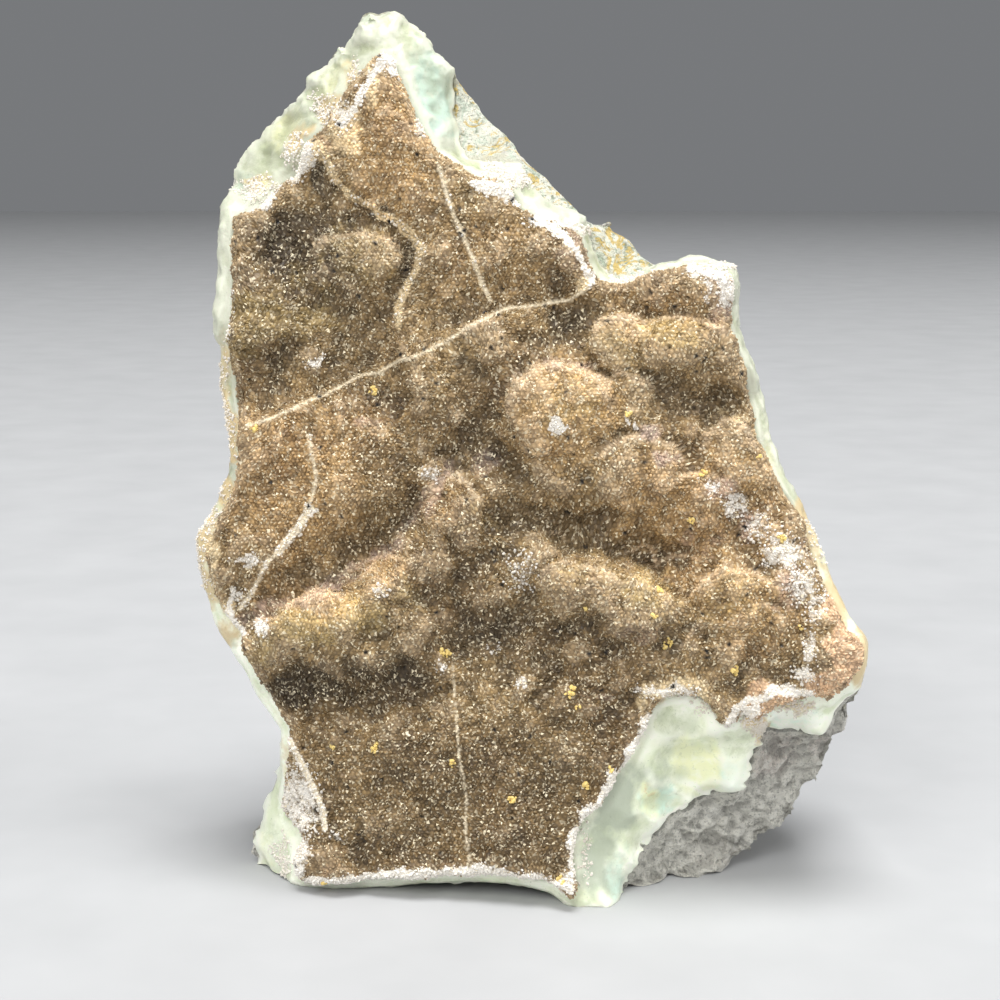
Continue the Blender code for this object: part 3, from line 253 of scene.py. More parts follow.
# Shelly scoops in the chalcedony: across, up, half width, half height, depth
SCOOPS = [
    (21.2, 20.4, 6.2, 4.8, 1.3), (19.6, 27.2, 4.6, 3.2, 1.0), (27.2, 22.4, 3.2, 4.8, 0.9),
    (17.2, 15.2, 3.8, 3.4, 1.0), (14.0, 11.2, 3.2, 3.6, 0.8),
    (10.3, 7.0, 3.6, 4.6, 0.8), (14.8, 4.0, 2.8, 4.0, 0.7), (-23.6, 113.4, 4.6, 5.6, 0.9),
    (-30.4, 106.6, 4.8, 4.6, 0.8), (-37.0, 99.6, 4.0, 4.6, 0.8), (-16.2, 116.8, 3.4, 4.4, 0.7),
    (-12.6, 109.4, 4.2, 6.6, 0.9), (-10.4, 102.6, 3.6, 3.8, 0.7), (-4.2, 99.4, 4.2, 2.8, 0.7),
    (-20.4, 119.4, 2.6, 2.8, 0.6), (6.0, 91.6, 4.6, 3.2, 0.7), (13.6, 85.2, 4.4, 2.6, 0.6),
    (-35.2, 8.4, 3.2, 6.0, 0.7), (-34.0, 17.6, 2.8, 5.0, 0.6),
]
# Bluish white edges in the chalcedony, whitish seams with painted highlight along the crests between the scoops: half
# width, points
BAND_EDGES = [
    (0.5, [(24.0, 16.4), (21.0, 18.4), (19.1, 19.0), (16.6, 18.6), (15.2, 19.8)]),
    (0.4, [(20.6, 15.4), (17.6, 13.6), (15.0, 11.4), (13.2, 8.6), (12.4, 5.6), (12.0, 2.4)]),
    (0.4, [(36.6, 25.2), (33.6, 26.4), (31.0, 27.4)]),
    (0.5, [(-21.6, 119.6), (-19.0, 116.8), (-17.2, 113.6), (-16.4, 111.0)]),
    (0.4, [(-33.8, 106.4), (-30.4, 109.4), (-27.6, 112.8), (-25.0, 115.4)]),
]
# Patches on the chalcedony, as on the crust
AQUA = [
    (-14.0, 108.0, 5.0, 9.0, 0.9), (-11.6, 103.4, 3.0, 2.6, 0.8), (34.6, 27.0, 4.4, 3.0, 0.9),
    (11.4, 4.0, 2.4, 6.0, 0.8), (17.0, 16.6, 3.4, 2.4, 0.7), (8.2, 92.6, 3.0, 3.0, 0.7),
    (-38.6, 97.6, 2.0, 3.0, 0.5), (27.0, 19.0, 2.6, 3.6, 0.5),
]
LEMON = [
    (22.2, 21.0, 4.0, 4.4, 0.9), (-33.0, 105.4, 3.4, 4.4, 0.7), (-26.6, 111.4, 3.6, 3.4, 0.6),
    (-19.0, 118.4, 2.6, 1.6, 0.7), (-35.5, 97.4, 1.8, 1.6, 0.6), (31.6, 65.0, 1.4, 14.0, 0.5),
    (42.0, 45.0, 2.6, 10.0, 0.7), (-42.0, 62.0, 1.8, 18.0, 0.9), (15.6, 16.6, 1.3, 2.6, 0.8),
    (-37.0, 9.6, 2.2, 3.6, 0.4), (14.0, 27.0, 1.4, 3.0, 0.3),
]
HONEY = [
    (-41.2, 62.0, 2.0, 18.0, 1.0), (-43.8, 48.0, 2.0, 9.0, 1.0), (-41.0, 38.0, 1.6, 6.0, 0.7),
    (44.4, 36.0, 2.4, 7.0, 1.0), (41.0, 46.0, 3.0, 8.0, 1.1), (37.0, 54.0, 3.0, 8.0, 0.9), (29.6, 26.0, 1.8, 3.0, 1.1), (33.6, 28.6, 3.6, 0.9, 0.8),
    (-31.0, 103.4, 1.5, 2.8, 0.9), (-26.8, 106.6, 1.7, 3.8, 0.9), (-24.0, 111.0, 1.3, 3.2, 0.7),
    (-36.6, 97.4, 3.0, 1.2, 0.6),
    (18.6, 30.2, 4.0, 1.0, 0.7), (-33.4, 22.0, 1.4, 4.0, 0.4),
]
RUST = [
    (15.8, 17.4, 0.4, 2.2, 0.55), (-35.4, 97.2, 0.9, 0.9, 0.6), (-30.0, 110.8, 0.9, 1.2, 0.7),
    (-40.7, 71.9, 1.3, 2.6, 0.9), (-43.8, 50.6, 1.3, 6.4, 0.6), (-9.6, 108.0, 0.6, 5.0, 0.6),
    (44.0, 37.0, 1.4, 4.0, 0.5),
]
FROST = [
    (19.8, 27.6, 4.0, 2.6, 0.7), (5.6, 12.0, 1.2, 3.0, 0.5), (-36.0, 94.6, 3.6, 1.6, 0.8),
    (-11.8, 102.6, 2.8, 1.8, 0.7), (-4.0, 99.4, 5.0, 1.8, 0.95), (5.4, 92.6, 3.0, 2.0, 0.8),
    (13.0, 85.6, 4.6, 1.6, 0.9), (-41.6, 86.0, 1.2, 9.0, 0.9), (-41.0, 38.6, 1.8, 4.0, 0.8),
    (-32.8, 16.0, 2.0, 3.4, 0.5), (-33.6, 6.4, 1.4, 3.0, 0.4), (25.0, 86.8, 3.0, 1.2, 0.6),
    (36.0, 26.8, 4.0, 2.4, 0.8),
]
SHADE = [
    (-11.5, 110.5, 1.4, 2.2, 0.8), (-22.2, 118.6, 1.8, 1.4, 0.6), (-38.4, 98.2, 1.4, 2.0, 0.3),
    (17.4, 19.6, 1.8, 4.0, 0.5), (8.4, 8.4, 3.0, 6.0, 1.1), (10.8, 15.4, 3.2, 4.8, 1.3),
    (13.6, 19.4, 2.2, 2.8, 0.8), (10.8, 4.8, 3.0, 4.4, 0.55),
    (-40.4, 37.2, 0.9, 0.9, 0.7),
]
# Where small crystals of the crust also sit on the chalcedony
DUSTED = [
    (29.2, 26.8, 1.5, 3.0, 1.2), (32.8, 28.9, 4.0, 1.3, 1.2), (18.4, 30.6, 4.6, 0.9, 1.1),
    (14.9, 29.2, 1.1, 1.5, 1.0), (22.4, 29.2, 1.0, 1.6, 1.0), (-41.0, 66.0, 1.0, 12.0, 0.5),
    (-43.2, 50.0, 1.2, 6.0, 0.5), (-36.4, 96.8, 3.2, 1.3, 0.9), (-31.2, 102.6, 1.2, 2.6, 0.8),
    (-27.4, 106.8, 1.4, 3.4, 0.8), (-23.4, 111.6, 1.1, 3.0, 0.7), (-4.0, 98.8, 4.2, 0.9, 0.9),
    (5.2, 91.4, 2.6, 1.2, 0.8), (13.0, 85.8, 4.0, 1.0, 0.9), (37.6, 54.0, 1.2, 6.0, 0.4),
    (25.0, 86.6, 2.6, 0.9, 0.8), (-34.0, 8.0, 1.2, 5.0, 0.7), (6.6, 9.0, 0.9, 4.6, 0.6),
]
# Patches on the rock
MOTTLED = [
    (-5.4, 106.4, 6.6, 7.0, 1.2), (3.0, 99.0, 6.6, 5.6, 1.2), (12.2, 90.2, 7.6, 5.4, 1.2),
]
PINKISH = [
    (32.4, 22.6, 4.0, 3.6, 0.9), (39.6, 22.4, 4.0, 4.0, 0.5), (24.0, 8.6, 6.0, 3.0, 0.3),
]
CHALKY = [
    (24.0, 14.8, 3.2, 1.4, 0.9), (38.8, 26.2, 1.6, 2.4, 0.9), (30.6, 12.4, 4.0, 0.9, 0.4),
    (-36.8, 6.2, 2.4, 3.0, 0.8), (21.6, 5.2, 4.0, 1.4, 0.5),
]
# Thin dark streaks across the lower right of the rock
DARK_STREAKS = [
    (27.0, 10.6, 6.0, 0.7, 0.8), (34.4, 14.4, 4.6, 0.7, 0.6), (21.0, 12.2, 2.6, 0.7, 0.7),
    (36.6, 24.4, 5.0, 0.6, 0.5),
]


def colour(name, text, value):
    """A colour that the sidebar shows"""
    return bpy.props.FloatVectorProperty(name=name, description=text, default=value, size=3,
                                         min=0.0, max=1.0, subtype="COLOR")


def length(name, text, value):
    """A length that the sidebar shows"""
    return bpy.props.FloatProperty(name=name, description=text, default=value, min=0.0,
                                   subtype="DISTANCE", unit="LENGTH", precision=5)


class GeodeCrystals(bpy.types.PropertyGroup):
    """Sizes and colours of the crystal crust"""
    grain_height: length("Grain height", "How far a grain of the druse stands up", 0.16 * MM)
    grain_jitter: length("Grain jitter", "How uneven the grains of the druse are", 0.09 * MM)
    point_size: length("Point size", "Width of the largest quartz point", 0.38 * MM)
    sugar_size: length("Sugar size", "Width of the largest white crystal", 0.42 * MM)
    ochre_size: length("Ochre size", "Width of the largest ochre grain", 0.60 * MM)
    point_density: bpy.props.FloatProperty(name="Points per square millimetre", default=0.80,
                                           description="How thickly quartz points stand", min=0.0)
    sugar_density: bpy.props.FloatProperty(name="Sugar per square millimetre", default=9.5,
                                           description="How thickly white crystals stand", min=0.0)
    brown: colour("Brown quartz", "Base colour of the crust", (0.318, 0.221, 0.106))
    dark: colour("Deep brown quartz", "Colour of its darker grains", (0.172, 0.108, 0.048))
    # Smoky tone of the crust, also used for painted shade in its creases and shaded patches
    smoke_and_shade: colour("Smoky quartz", "Colour in its grey hollows", (0.080, 0.058, 0.034))
    gold: colour("Golden quartz", "Olive gold of the lit ridges", (0.42, 0.315, 0.140))
    cream: colour("Cream quartz", "Cream stain at the edges", (0.75, 0.60, 0.37))
    healed: colour("Healed cracks", "Cream of the thin cracks", (0.80, 0.69, 0.50))
    peach: colour("Peach quartz", "Orange stain at the edges", (0.68, 0.46, 0.29))
    lilac: colour("Lilac quartz", "Faint violet tint", (0.38, 0.29, 0.265))
    # Frosted grains together with painted highlight on the tops of the lumps
    frosted_lit_rim: colour("Frosted quartz", "Paler grains along the tops of the lumps", (0.58, 0.45, 0.30))
    sugar: colour("White quartz", "Colour of the white crystals", (0.88, 0.84, 0.77))
    spark: colour("Glint", "Colour of the bright facets", (0.90, 0.79, 0.56))


class GeodeStone(bpy.types.PropertyGroup):
    """Colours of the chalcedony and the host rock"""
    mint: colour("Mint chalcedony", "Base colour of the band", (0.52, 0.58, 0.38))
    aqua: colour("Aqua chalcedony", "Its bluer zones", (0.58, 0.77, 0.69))
    lemon: colour("Lemon chalcedony", "Its yellow zones", (0.74, 0.76, 0.48))
    frost: colour("White chalcedony", "Its white seams", (0.74, 0.77, 0.66))
    honey: colour("Honey chalcedony", "Yellow cream of the thin outer rims", (0.68, 0.53, 0.29))
    rust: colour("Rust", "Iron stain", (0.60, 0.44, 0.16))
    rind: colour("Rind", "Pale stain of the rock beside the chalcedony", (0.62, 0.60, 0.46))
    grey: colour("Grey rock", "Base colour of the rock", (0.80, 0.78, 0.70))
    slate: colour("Dark rock", "Colour of its pits and seams", (0.27, 0.262, 0.235))
    chalk: colour("Pale rock", "Colour of its fresh faces", (0.84, 0.82, 0.75))
    pink: colour("Pinkish rock", "Weathered warm zones", (0.74, 0.66, 0.60))
    ochre: colour("Ochre", "Colour of the ochre grains and stains", (0.72, 0.53, 0.17))


def place_on_plane(points):
    """Where points of the stone are seen on the marking plane, in millimetres"""
    p = points / MM - RECENTRE
    reach = (PLANE_Y + PLANE_LEAN * SIGHT[2] - SIGHT[1])
    reach = reach / ((p[:, 1] - SIGHT[1]) - PLANE_LEAN * (p[:, 2] - SIGHT[2]))
    across = SIGHT[0] + (p[:, 0] - SIGHT[0]) * reach
    up = SIGHT[2] + (p[:, 2] - SIGHT[2]) * reach
    return np.stack([across, up], axis=1)


def soft(low, high, value):
    """0 below low, 1 above high, smooth between"""
    t = np.clip((value - low) / (high - low), 0.0, 1.0)
    return t * t * (3.0 - 2.0 * t)


def off_line(marks, line):
    """Distance from each mark to a line of points"""
    best = np.full(len(marks), 1e9)
    for a, b in zip(line[:-1], line[1:]):
        a = np.array(a)
        run = np.array(b) - a
        along = np.clip(((marks - a) @ run) / (run @ run), 0.0, 1.0)
        best = np.minimum(best, np.linalg.norm(marks - a - along[:, None] * run, axis=1))
    return best


def side_of(marks, line):
    """Distance to a line of points, above 0 on the right of its run and below 0 on its left"""
    best = np.full(len(marks), 1e9)
    side = np.zeros(len(marks))
    for a, b in zip(line[:-1], line[1:]):
        a = np.array(a)
        run = np.array(b) - a
        rel = marks - a
        along = np.clip((rel @ run) / (run @ run), 0.0, 1.0)
        d = np.linalg.norm(rel - along[:, None] * run, axis=1)
        turn = run[1] * rel[:, 0] - run[0] * rel[:, 1]
        side = np.where(d < best, np.sign(turn) * d, side)
        best = np.minimum(best, d)
    return side


def lump_reach(marks, lump):
    """How far out of a lump's middle each mark lies, 1 at its foot, and how near to straight above it"""
    across, up, wide, high, height = lump
    over = (marks[:, 1] - up) / high
    over = np.where(over < 0.0, over * 0.70, over)
    d = np.hypot((marks[:, 0] - across) / wide, over)
    return d, over / np.maximum(d, 0.2)


def held_in(points):
    """Points that stand out in front of the solids are eased back"""
    front = CAD_BOX[0][1]
    proud = np.maximum(front - points[:, 1], 0.0) / (0.8 * MM)
    points[:, 1] = np.where(proud > 0.0, front - 0.8 * MM * np.tanh(proud), points[:, 1])
    return points


def surroundings(mesh, points, rounds):
    """Each point moved to the middle of its neighbours, again and again"""
    ends = np.zeros(len(mesh.edges) * 2, dtype=int)
    mesh.edges.foreach_get("vertices", ends)
    one, two = ends.reshape(-1, 2).T
    count = len(points)
    links = np.bincount(one, minlength=count) + np.bincount(two, minlength=count)
    result = points.copy()
    for _ in range(rounds):
        total = np.stack([np.bincount(one, result[two, k], count) + np.bincount(two, result[one, k], count)
                          for k in range(3)], axis=1)
        result = 0.35 * result + 0.65 * total / links[:, None]
    return result


def drawn_back(mesh, points, most, where):
    """Points that stand further from what lies round them than a limit, drawn back to it"""
    for _ in range(3):
        around = surroundings(mesh, points, 8)
        apart = np.linalg.norm(points - around, axis=1)
        share = np.minimum(1.0, most / np.maximum(apart, 1e-9))
        share = 1.0 - (1.0 - share) * where
        points = around + (points - around) * share[:, None]
    return points


def hollow_of(mesh, rounds, deep):
    """Stores how far each point stands out, as ridge, and how far it lies back, as crease, which the materials use for
    painted highlight and painted shade
    """
    points = points_of(mesh)
    bulge = ((points - surroundings(mesh, points, rounds)) * normals_of(mesh)).sum(axis=1) / MM
    bulge = surroundings(mesh, np.repeat(bulge[:, None], 3, axis=1), 2 + rounds // 15)[:, 0]
    keep_values(mesh, "ridge", soft(0.1 * deep, deep, bulge))
    keep_values(mesh, "crease", soft(-0.1 * deep, -deep, bulge))


def drift(places, level):
    """A soft noise in two directions for each place, the same in each run"""
    return np.array([(noise((x, y, level)), noise((x + 31.4, y + 12.6, level + 50.0))) for x, y in places])


def strayed(marks, size, amount):
    """Marks pushed about by a soft noise, so that no patch keeps a round edge"""
    moved = drift(marks / size, 3.7)
    fine = drift(marks / size * 2.7, 8.1)
    return marks + (moved + 0.45 * fine) * amount


def patches(marks, table):
    """Strength of the patches of a table at each mark"""
    total = np.zeros(len(marks))
    for across, up, wide, high, strength in table:
        d = np.hypot((marks[:, 0] - across) / wide, (marks[:, 1] - up) / high)
        total = np.maximum(total, strength * (1.0 - soft(0.35, 1.25, d)))
    return total


def points_of(mesh):
    """The points of a mesh, as rows"""
    flat = np.zeros(len(mesh.vertices) * 3)
    mesh.vertices.foreach_get("co", flat)
    return flat.reshape(-1, 3)


def normals_of(mesh):
    """The normals at the points of a mesh"""
    flat = np.zeros(len(mesh.vertices) * 3)
    mesh.vertex_normals.foreach_get("vector", flat)
    return flat.reshape(-1, 3)


def face_normals_of(mesh):
    """The normals of the faces of a mesh"""
    flat = np.zeros(len(mesh.polygons) * 3)
    mesh.polygons.foreach_get("normal", flat)
    return flat.reshape(-1, 3)


def face_centres_of(mesh):
    """The middles of the faces of a mesh"""
    flat = np.zeros(len(mesh.polygons) * 3)
    mesh.polygons.foreach_get("center", flat)
    return flat.reshape(-1, 3)


def move_points(mesh, points):
    """Puts the points of a mesh in their new places"""
    mesh.vertices.foreach_set("co", np.ascontiguousarray(points).ravel())
    mesh.update()


def keep_values(mesh, name, values, domain="POINT"):
    """Stores one number for each point or face, which the materials read"""
    layer = mesh.attributes.get(name) or mesh.attributes.new(name, "FLOAT", domain)
    layer.data.foreach_set("value", np.ascontiguousarray(values, dtype=np.float32))


def only(piece):
    """Selects one piece and nothing else"""
    if bpy.context.object and bpy.context.object.mode != "OBJECT":
        bpy.ops.object.mode_set(mode="OBJECT")
    for other in bpy.context.view_layer.objects:
        other.select_set(False)
    bpy.context.view_layer.objects.active = piece
    piece.select_set(True)


def copy_of(node, name):
    """A merged copy of a solid of the frame, selected"""
    mesh = frame["nodes"][node].data.copy()
    mesh.materials.clear()
    piece = bpy.data.objects.new(name, mesh)
    bpy.context.scene.collection.objects.link(piece)
    only(piece)
    bpy.ops.object.mode_set(mode="EDIT")
    bpy.ops.mesh.select_all(action="SELECT")
    bpy.ops.mesh.remove_doubles(threshold=0.00001)
    bpy.ops.mesh.normals_make_consistent(inside=False)
    bpy.ops.mesh.select_all(action="DESELECT")
    bpy.ops.object.mode_set(mode="OBJECT")
    return piece


def pick_faces(piece, chosen):
    """Selects these faces, in edit mode"""
    mesh = piece.data
    only(piece)
    bpy.ops.object.mode_set(mode="EDIT")
    bpy.ops.mesh.select_mode(type="FACE")
    bpy.ops.mesh.select_all(action="DESELECT")
    bpy.ops.object.mode_set(mode="OBJECT")
    mesh.polygons.foreach_set("select", np.ascontiguousarray(chosen, dtype=bool))
    bpy.ops.object.mode_set(mode="EDIT")


def cut_long_edges(piece, longest):
    """Halves the edges that are longer than a limit, so that steep flanks get cells of the same size"""
    mesh = piece.data
    points = points_of(mesh)
    ends = np.zeros(len(mesh.edges) * 2, dtype=int)
    mesh.edges.foreach_get("vertices", ends)
    one, two = ends.reshape(-1, 2).T
    front = normals_of(mesh)[:, 1] < 0.2
    chosen = (np.linalg.norm(points[one] - points[two], axis=1) > longest) & front[one] & front[two]
    only(piece)
    bpy.ops.object.mode_set(mode="EDIT")
    bpy.ops.mesh.select_mode(type="EDGE")
    bpy.ops.mesh.select_all(action="DESELECT")
    bpy.ops.object.mode_set(mode="OBJECT")
    mesh.edges.foreach_set("select", chosen)
    bpy.ops.object.mode_set(mode="EDIT")
    bpy.ops.mesh.subdivide(number_cuts=1, smoothness=0.0)
    bpy.ops.mesh.select_all(action="SELECT")
    bpy.ops.mesh.quads_convert_to_tris()
    bpy.ops.mesh.select_mode(type="VERT")
    bpy.ops.object.mode_set(mode="OBJECT")


def roughen(piece, kind, size, depth, group="", middle=0.5, **options):
    """Pushes the surface in and out with a noise"""
    texture = bpy.data.textures.new("Relief", kind)
    texture.noise_scale = size * MM
    for key, value in options.items():
        setattr(texture, key, value)
    only(piece)
    relief = piece.modifiers.new("Relief", "DISPLACE")
    relief.texture = texture
    relief.texture_coords = "LOCAL"
    relief.strength = depth * MM
    relief.mid_level = middle
    relief.vertex_group = group
    bpy.ops.object.modifier_apply(modifier=relief.name)


def distance_to(node, points):
    """How far points lie from the surface of a solid of the frame"""
    mesh = frame["nodes"][node].data
    tree = BVHTree.FromPolygons([v.co for v in mesh.vertices], [tuple(p.vertices) for p in mesh.polygons])
    return np.array([tree.find_nearest(point)[3] for point in points])


def add_group(piece, name, weights):
    """A vertex group from one weight for each point"""
    group = piece.vertex_groups.new(name=name)
    steps = np.round(np.clip(weights, 0.0, 1.0) * 20.0).astype(int)
    for step in range(1, 21):
        chosen = np.nonzero(steps == step)[0]
        if len(chosen):
            group.add(chosen.tolist(), step / 20.0, "REPLACE")
    return group.name


def stand_on_floor(mesh):
    """Nothing reaches under the surface that the stone stands on"""
    points = points_of(mesh)
    points[:, 2] = np.maximum(points[:, 2], 0.0)
    move_points(mesh, points)


def new_tree(name, kind="GeometryNodeTree"):
    """A node group with one geometry in and one out"""
    tree = bpy.data.node_groups.new(name, kind)
    tree.interface.new_socket("Geometry", in_out="INPUT", socket_type="NodeSocketGeometry")
    tree.interface.new_socket("Geometry", in_out="OUTPUT", socket_type="NodeSocketGeometry")
    return tree


def put(tree, kind, inputs=None, **options):
    """A node with its settings, and with values or links on its inputs"""
    made = tree.nodes.new(kind)
    for key, value in options.items():
        setattr(made, key, value)
    for socket, value in (inputs or {}).items():
        if isinstance(value, bpy.types.NodeSocket):
            tree.links.new(value, made.inputs[socket])
        else:
            made.inputs[socket].default_value = value
    return made


def apply_tree(piece, tree):
    """Runs a geometry node group on a piece and keeps its result"""
    only(piece)
    modifier = piece.modifiers.new(tree.name, "NODES")
    modifier.node_group = tree
    bpy.ops.object.modifier_apply(modifier=modifier.name)


def turn_into_cells(piece):
    """Each point of the surface becomes a small flat cell"""
    tree = new_tree("Cells")
    source = put(tree, "NodeGroupInput")
    cells = put(tree, "GeometryNodeDualMesh", {"Mesh": source.outputs[0]})
    put(tree, "NodeGroupOutput", {0: cells.outputs[0]})
    apply_tree(piece, tree)


def quartz_point(name, shaft, tip):
    """A short six-sided crystal one unit wide, with a pointed end"""
    for other in bpy.context.view_layer.objects:
        other.select_set(False)
    bpy.ops.mesh.primitive_cylinder_add(vertices=6, radius=0.5, depth=shaft)
    crystal = bpy.context.object
    crystal.name = name
    top = face_normals_of(crystal.data)[:, 2] > 0.9
    pick_faces(crystal, top)
    bpy.ops.mesh.poke(offset=tip)
    bpy.ops.object.mode_set(mode="OBJECT")
    points = points_of(crystal.data)
    lean = points[:, 2] > shaft * 0.5 + tip * 0.5
    points[lean, 0] += 0.13
    move_points(crystal.data, points)
    return crystal


def scatter(name, host, crystal, mask, density, smallest, largest, tilt, lift, seed):
    """Copies of a crystal all over a surface where a mask is high, joined into one piece"""
    tree = new_tree(name)
    picked = put(tree, "GeometryNodeObjectInfo", {"Object": host})
    shape = put(tree, "GeometryNodeObjectInfo", {"Object": crystal})
    where = put(tree, "GeometryNodeInputNamedAttribute", {"Name": mask}, data_type="FLOAT")
    dense = put(tree, "ShaderNodeMath", {0: where.outputs[0], 1: density * 1e6}, operation="MULTIPLY")
    spread = put(tree, "GeometryNodeDistributePointsOnFaces",
                 {"Mesh": picked.outputs["Geometry"], "Density": dense.outputs[0], "Seed": seed})
    lean = put(tree, "FunctionNodeRandomValue",
               {0: (-tilt, -tilt, 0.0), 1: (tilt, tilt, 6.283), "Seed": seed + 1},
               data_type="FLOAT_VECTOR")
    turned = put(tree, "FunctionNodeRotateRotation",
                 {0: spread.outputs["Rotation"]}, rotation_space="LOCAL")
    as_turn = put(tree, "FunctionNodeEulerToRotation", {0: lean.outputs[0]})
    tree.links.new(as_turn.outputs[0], turned.inputs[1])
    chance = put(tree, "FunctionNodeRandomValue", {2: 0.0, 3: 1.0, "Seed": seed + 2}, data_type="FLOAT")
    few = put(tree, "ShaderNodeMath", {0: chance.outputs[1], 1: 2.2}, operation="POWER")
    size = put(tree, "ShaderNodeMapRange", {0: few.outputs[0], 3: smallest, 4: largest})
    stood = put(tree, "GeometryNodeInstanceOnPoints",
                {"Points": spread.outputs["Points"], "Instance": shape.outputs["Geometry"],
                 "Rotation": turned.outputs[0], "Scale": size.outputs[0]})
    drop = put(tree, "ShaderNodeMath", {0: size.outputs[0], 1: lift}, operation="MULTIPLY")
    along = put(tree, "ShaderNodeCombineXYZ", {2: drop.outputs[0]})
    sunk = put(tree, "GeometryNodeTranslateInstances",
               {"Instances": stood.outputs[0], "Translation": along.outputs[0]})
    tone = put(tree, "FunctionNodeRandomValue", {2: 0.0, 3: 1.0, "Seed": seed + 3}, data_type="FLOAT")
    marked = put(tree, "GeometryNodeStoreNamedAttribute",
                 {"Geometry": sunk.outputs[0], "Name": "grain", "Value": tone.outputs[1]},
                 data_type="FLOAT", domain="INSTANCE")
    real = put(tree, "GeometryNodeRealizeInstances", {"Geometry": marked.outputs[0]})
    put(tree, "NodeGroupOutput", {0: real.outputs[0]})
    piece = bpy.data.objects.new(name, bpy.data.meshes.new(name))
    bpy.context.scene.collection.objects.link(piece)
    apply_tree(piece, tree)
    piece.data.materials.clear()
    count = len(piece.data.polygons)
    keep_values(piece.data, "tip", np.full(len(piece.data.vertices), 0.85))
    keep_values(piece.data, "glint", np.random.default_rng(seed).random(count), "FACE")
    return piece


def new_material(name):
    """A material with its shader, and the shader itself"""
    material = bpy.data.materials.new(name)
    material.use_nodes = True
    tree = material.node_tree
    tree.nodes.clear()
    shader = put(tree, "ShaderNodeBsdfPrincipled")
    put(tree, "ShaderNodeOutputMaterial", {"Surface": shader.outputs[0]})
    return material, tree, shader


def mix(tree, mask, first, second, mode="MIX"):
    """One colour over another where a mask is high"""
    made = put(tree, "ShaderNodeMix", {0: mask}, data_type="RGBA", blend_type=mode, clamp_factor=True)
    for index, value in ((6, first), (7, second)):
        if isinstance(value, bpy.types.NodeSocket):
            tree.links.new(value, made.inputs[index])
        else:
            made.inputs[index].default_value = (*value, 1.0)
    return made.outputs[2]


def value_of(tree, name):
    """A number stored on the mesh"""
    return put(tree, "ShaderNodeAttribute", attribute_name=name).outputs["Fac"]


def ramp(tree, value, low, high, start=0.0, end=1.0):
    """A value stretched between two limits"""
    made = put(tree, "ShaderNodeMapRange", {0: value, 1: low, 2: high, 3: start, 4: end}, clamp=True)
    return made.outputs[0]


def math_node(tree, operation, first, second=0.0):
    """Sum, product and the like of two values"""
    return put(tree, "ShaderNodeMath", {0: first, 1: second}, operation=operation).outputs[0]


def noise_node(tree, scale, detail=3.0, roughness=0.55, distortion=0.0):
    """A noise on object coordinates, with features so many to the metre"""
    place = put(tree, "ShaderNodeTexCoord")
    made = put(tree, "ShaderNodeTexNoise",
               {"Vector": place.outputs["Object"], "Scale": scale, "Detail": detail,
                "Roughness": roughness, "Distortion": distortion})
    return made.outputs[0]


def shader_group(name, inputs, outputs):
    """An empty shader group with named inputs and outputs"""
    tree = bpy.data.node_groups.new(name, "ShaderNodeTree")
    for label, kind, default in inputs:
        made = tree.interface.new_socket(label, in_out="INPUT", socket_type=kind)
        made.default_value = default
    for label, kind in outputs:
        tree.interface.new_socket(label, in_out="OUTPUT", socket_type=kind)
    return tree, put(tree, "NodeGroupInput")


def patchy_group():
    """A mask broken up by a fine noise, so that its edge is ragged"""
    if "Ragged patch" in bpy.data.node_groups:
        return bpy.data.node_groups["Ragged patch"]
    tree, source = shader_group("Ragged patch",
                                [("Mask", "NodeSocketFloat", 0.0), ("Scale", "NodeSocketFloat", 900.0),
                                 ("Hardness", "NodeSocketFloat", 3.0)],
                                [("Mask", "NodeSocketFloat")])
    place = put(tree, "ShaderNodeTexCoord")
    fine = put(tree, "ShaderNodeTexNoise",
               {"Vector": place.outputs["Object"], "Scale": source.outputs["Scale"], "Detail": 4.0,
                "Roughness": 0.7})
    shifted = math_node(tree, "SUBTRACT", fine.outputs[0], 0.5)
    stronger = math_node(tree, "MULTIPLY", shifted, 1.6)
    ragged = math_node(tree, "ADD", source.outputs["Mask"], stronger)
    centred = math_node(tree, "SUBTRACT", ragged, 0.5)
    sharp = math_node(tree, "MULTIPLY", centred, source.outputs["Hardness"])
    moved = math_node(tree, "ADD", sharp, 0.5)
    inside = math_node(tree, "MINIMUM", moved, 1.0)
    inside = math_node(tree, "MAXIMUM", inside, 0.0)
    gate = ramp(tree, source.outputs["Mask"], 0.0, 0.08)
    final = math_node(tree, "MULTIPLY", inside, gate)
    put(tree, "NodeGroupOutput", {0: final})
    return tree


def patchy(tree, name, scale=900.0, hardness=3.0, most=1.0):
    """A stored mask with a ragged edge"""
    made = put(tree, "ShaderNodeGroup", node_tree=patchy_group())
    tree.links.new(value_of(tree, name), made.inputs["Mask"])
    made.inputs["Scale"].default_value = scale
    made.inputs["Hardness"].default_value = hardness
    if most == 1.0:
        return made.outputs[0]
    return math_node(tree, "MULTIPLY", made.outputs[0], most)


def tinted(colour_value, factor):
    """A colour made lighter or darker"""
    return tuple(min(1.0, c * factor) for c in colour_value)


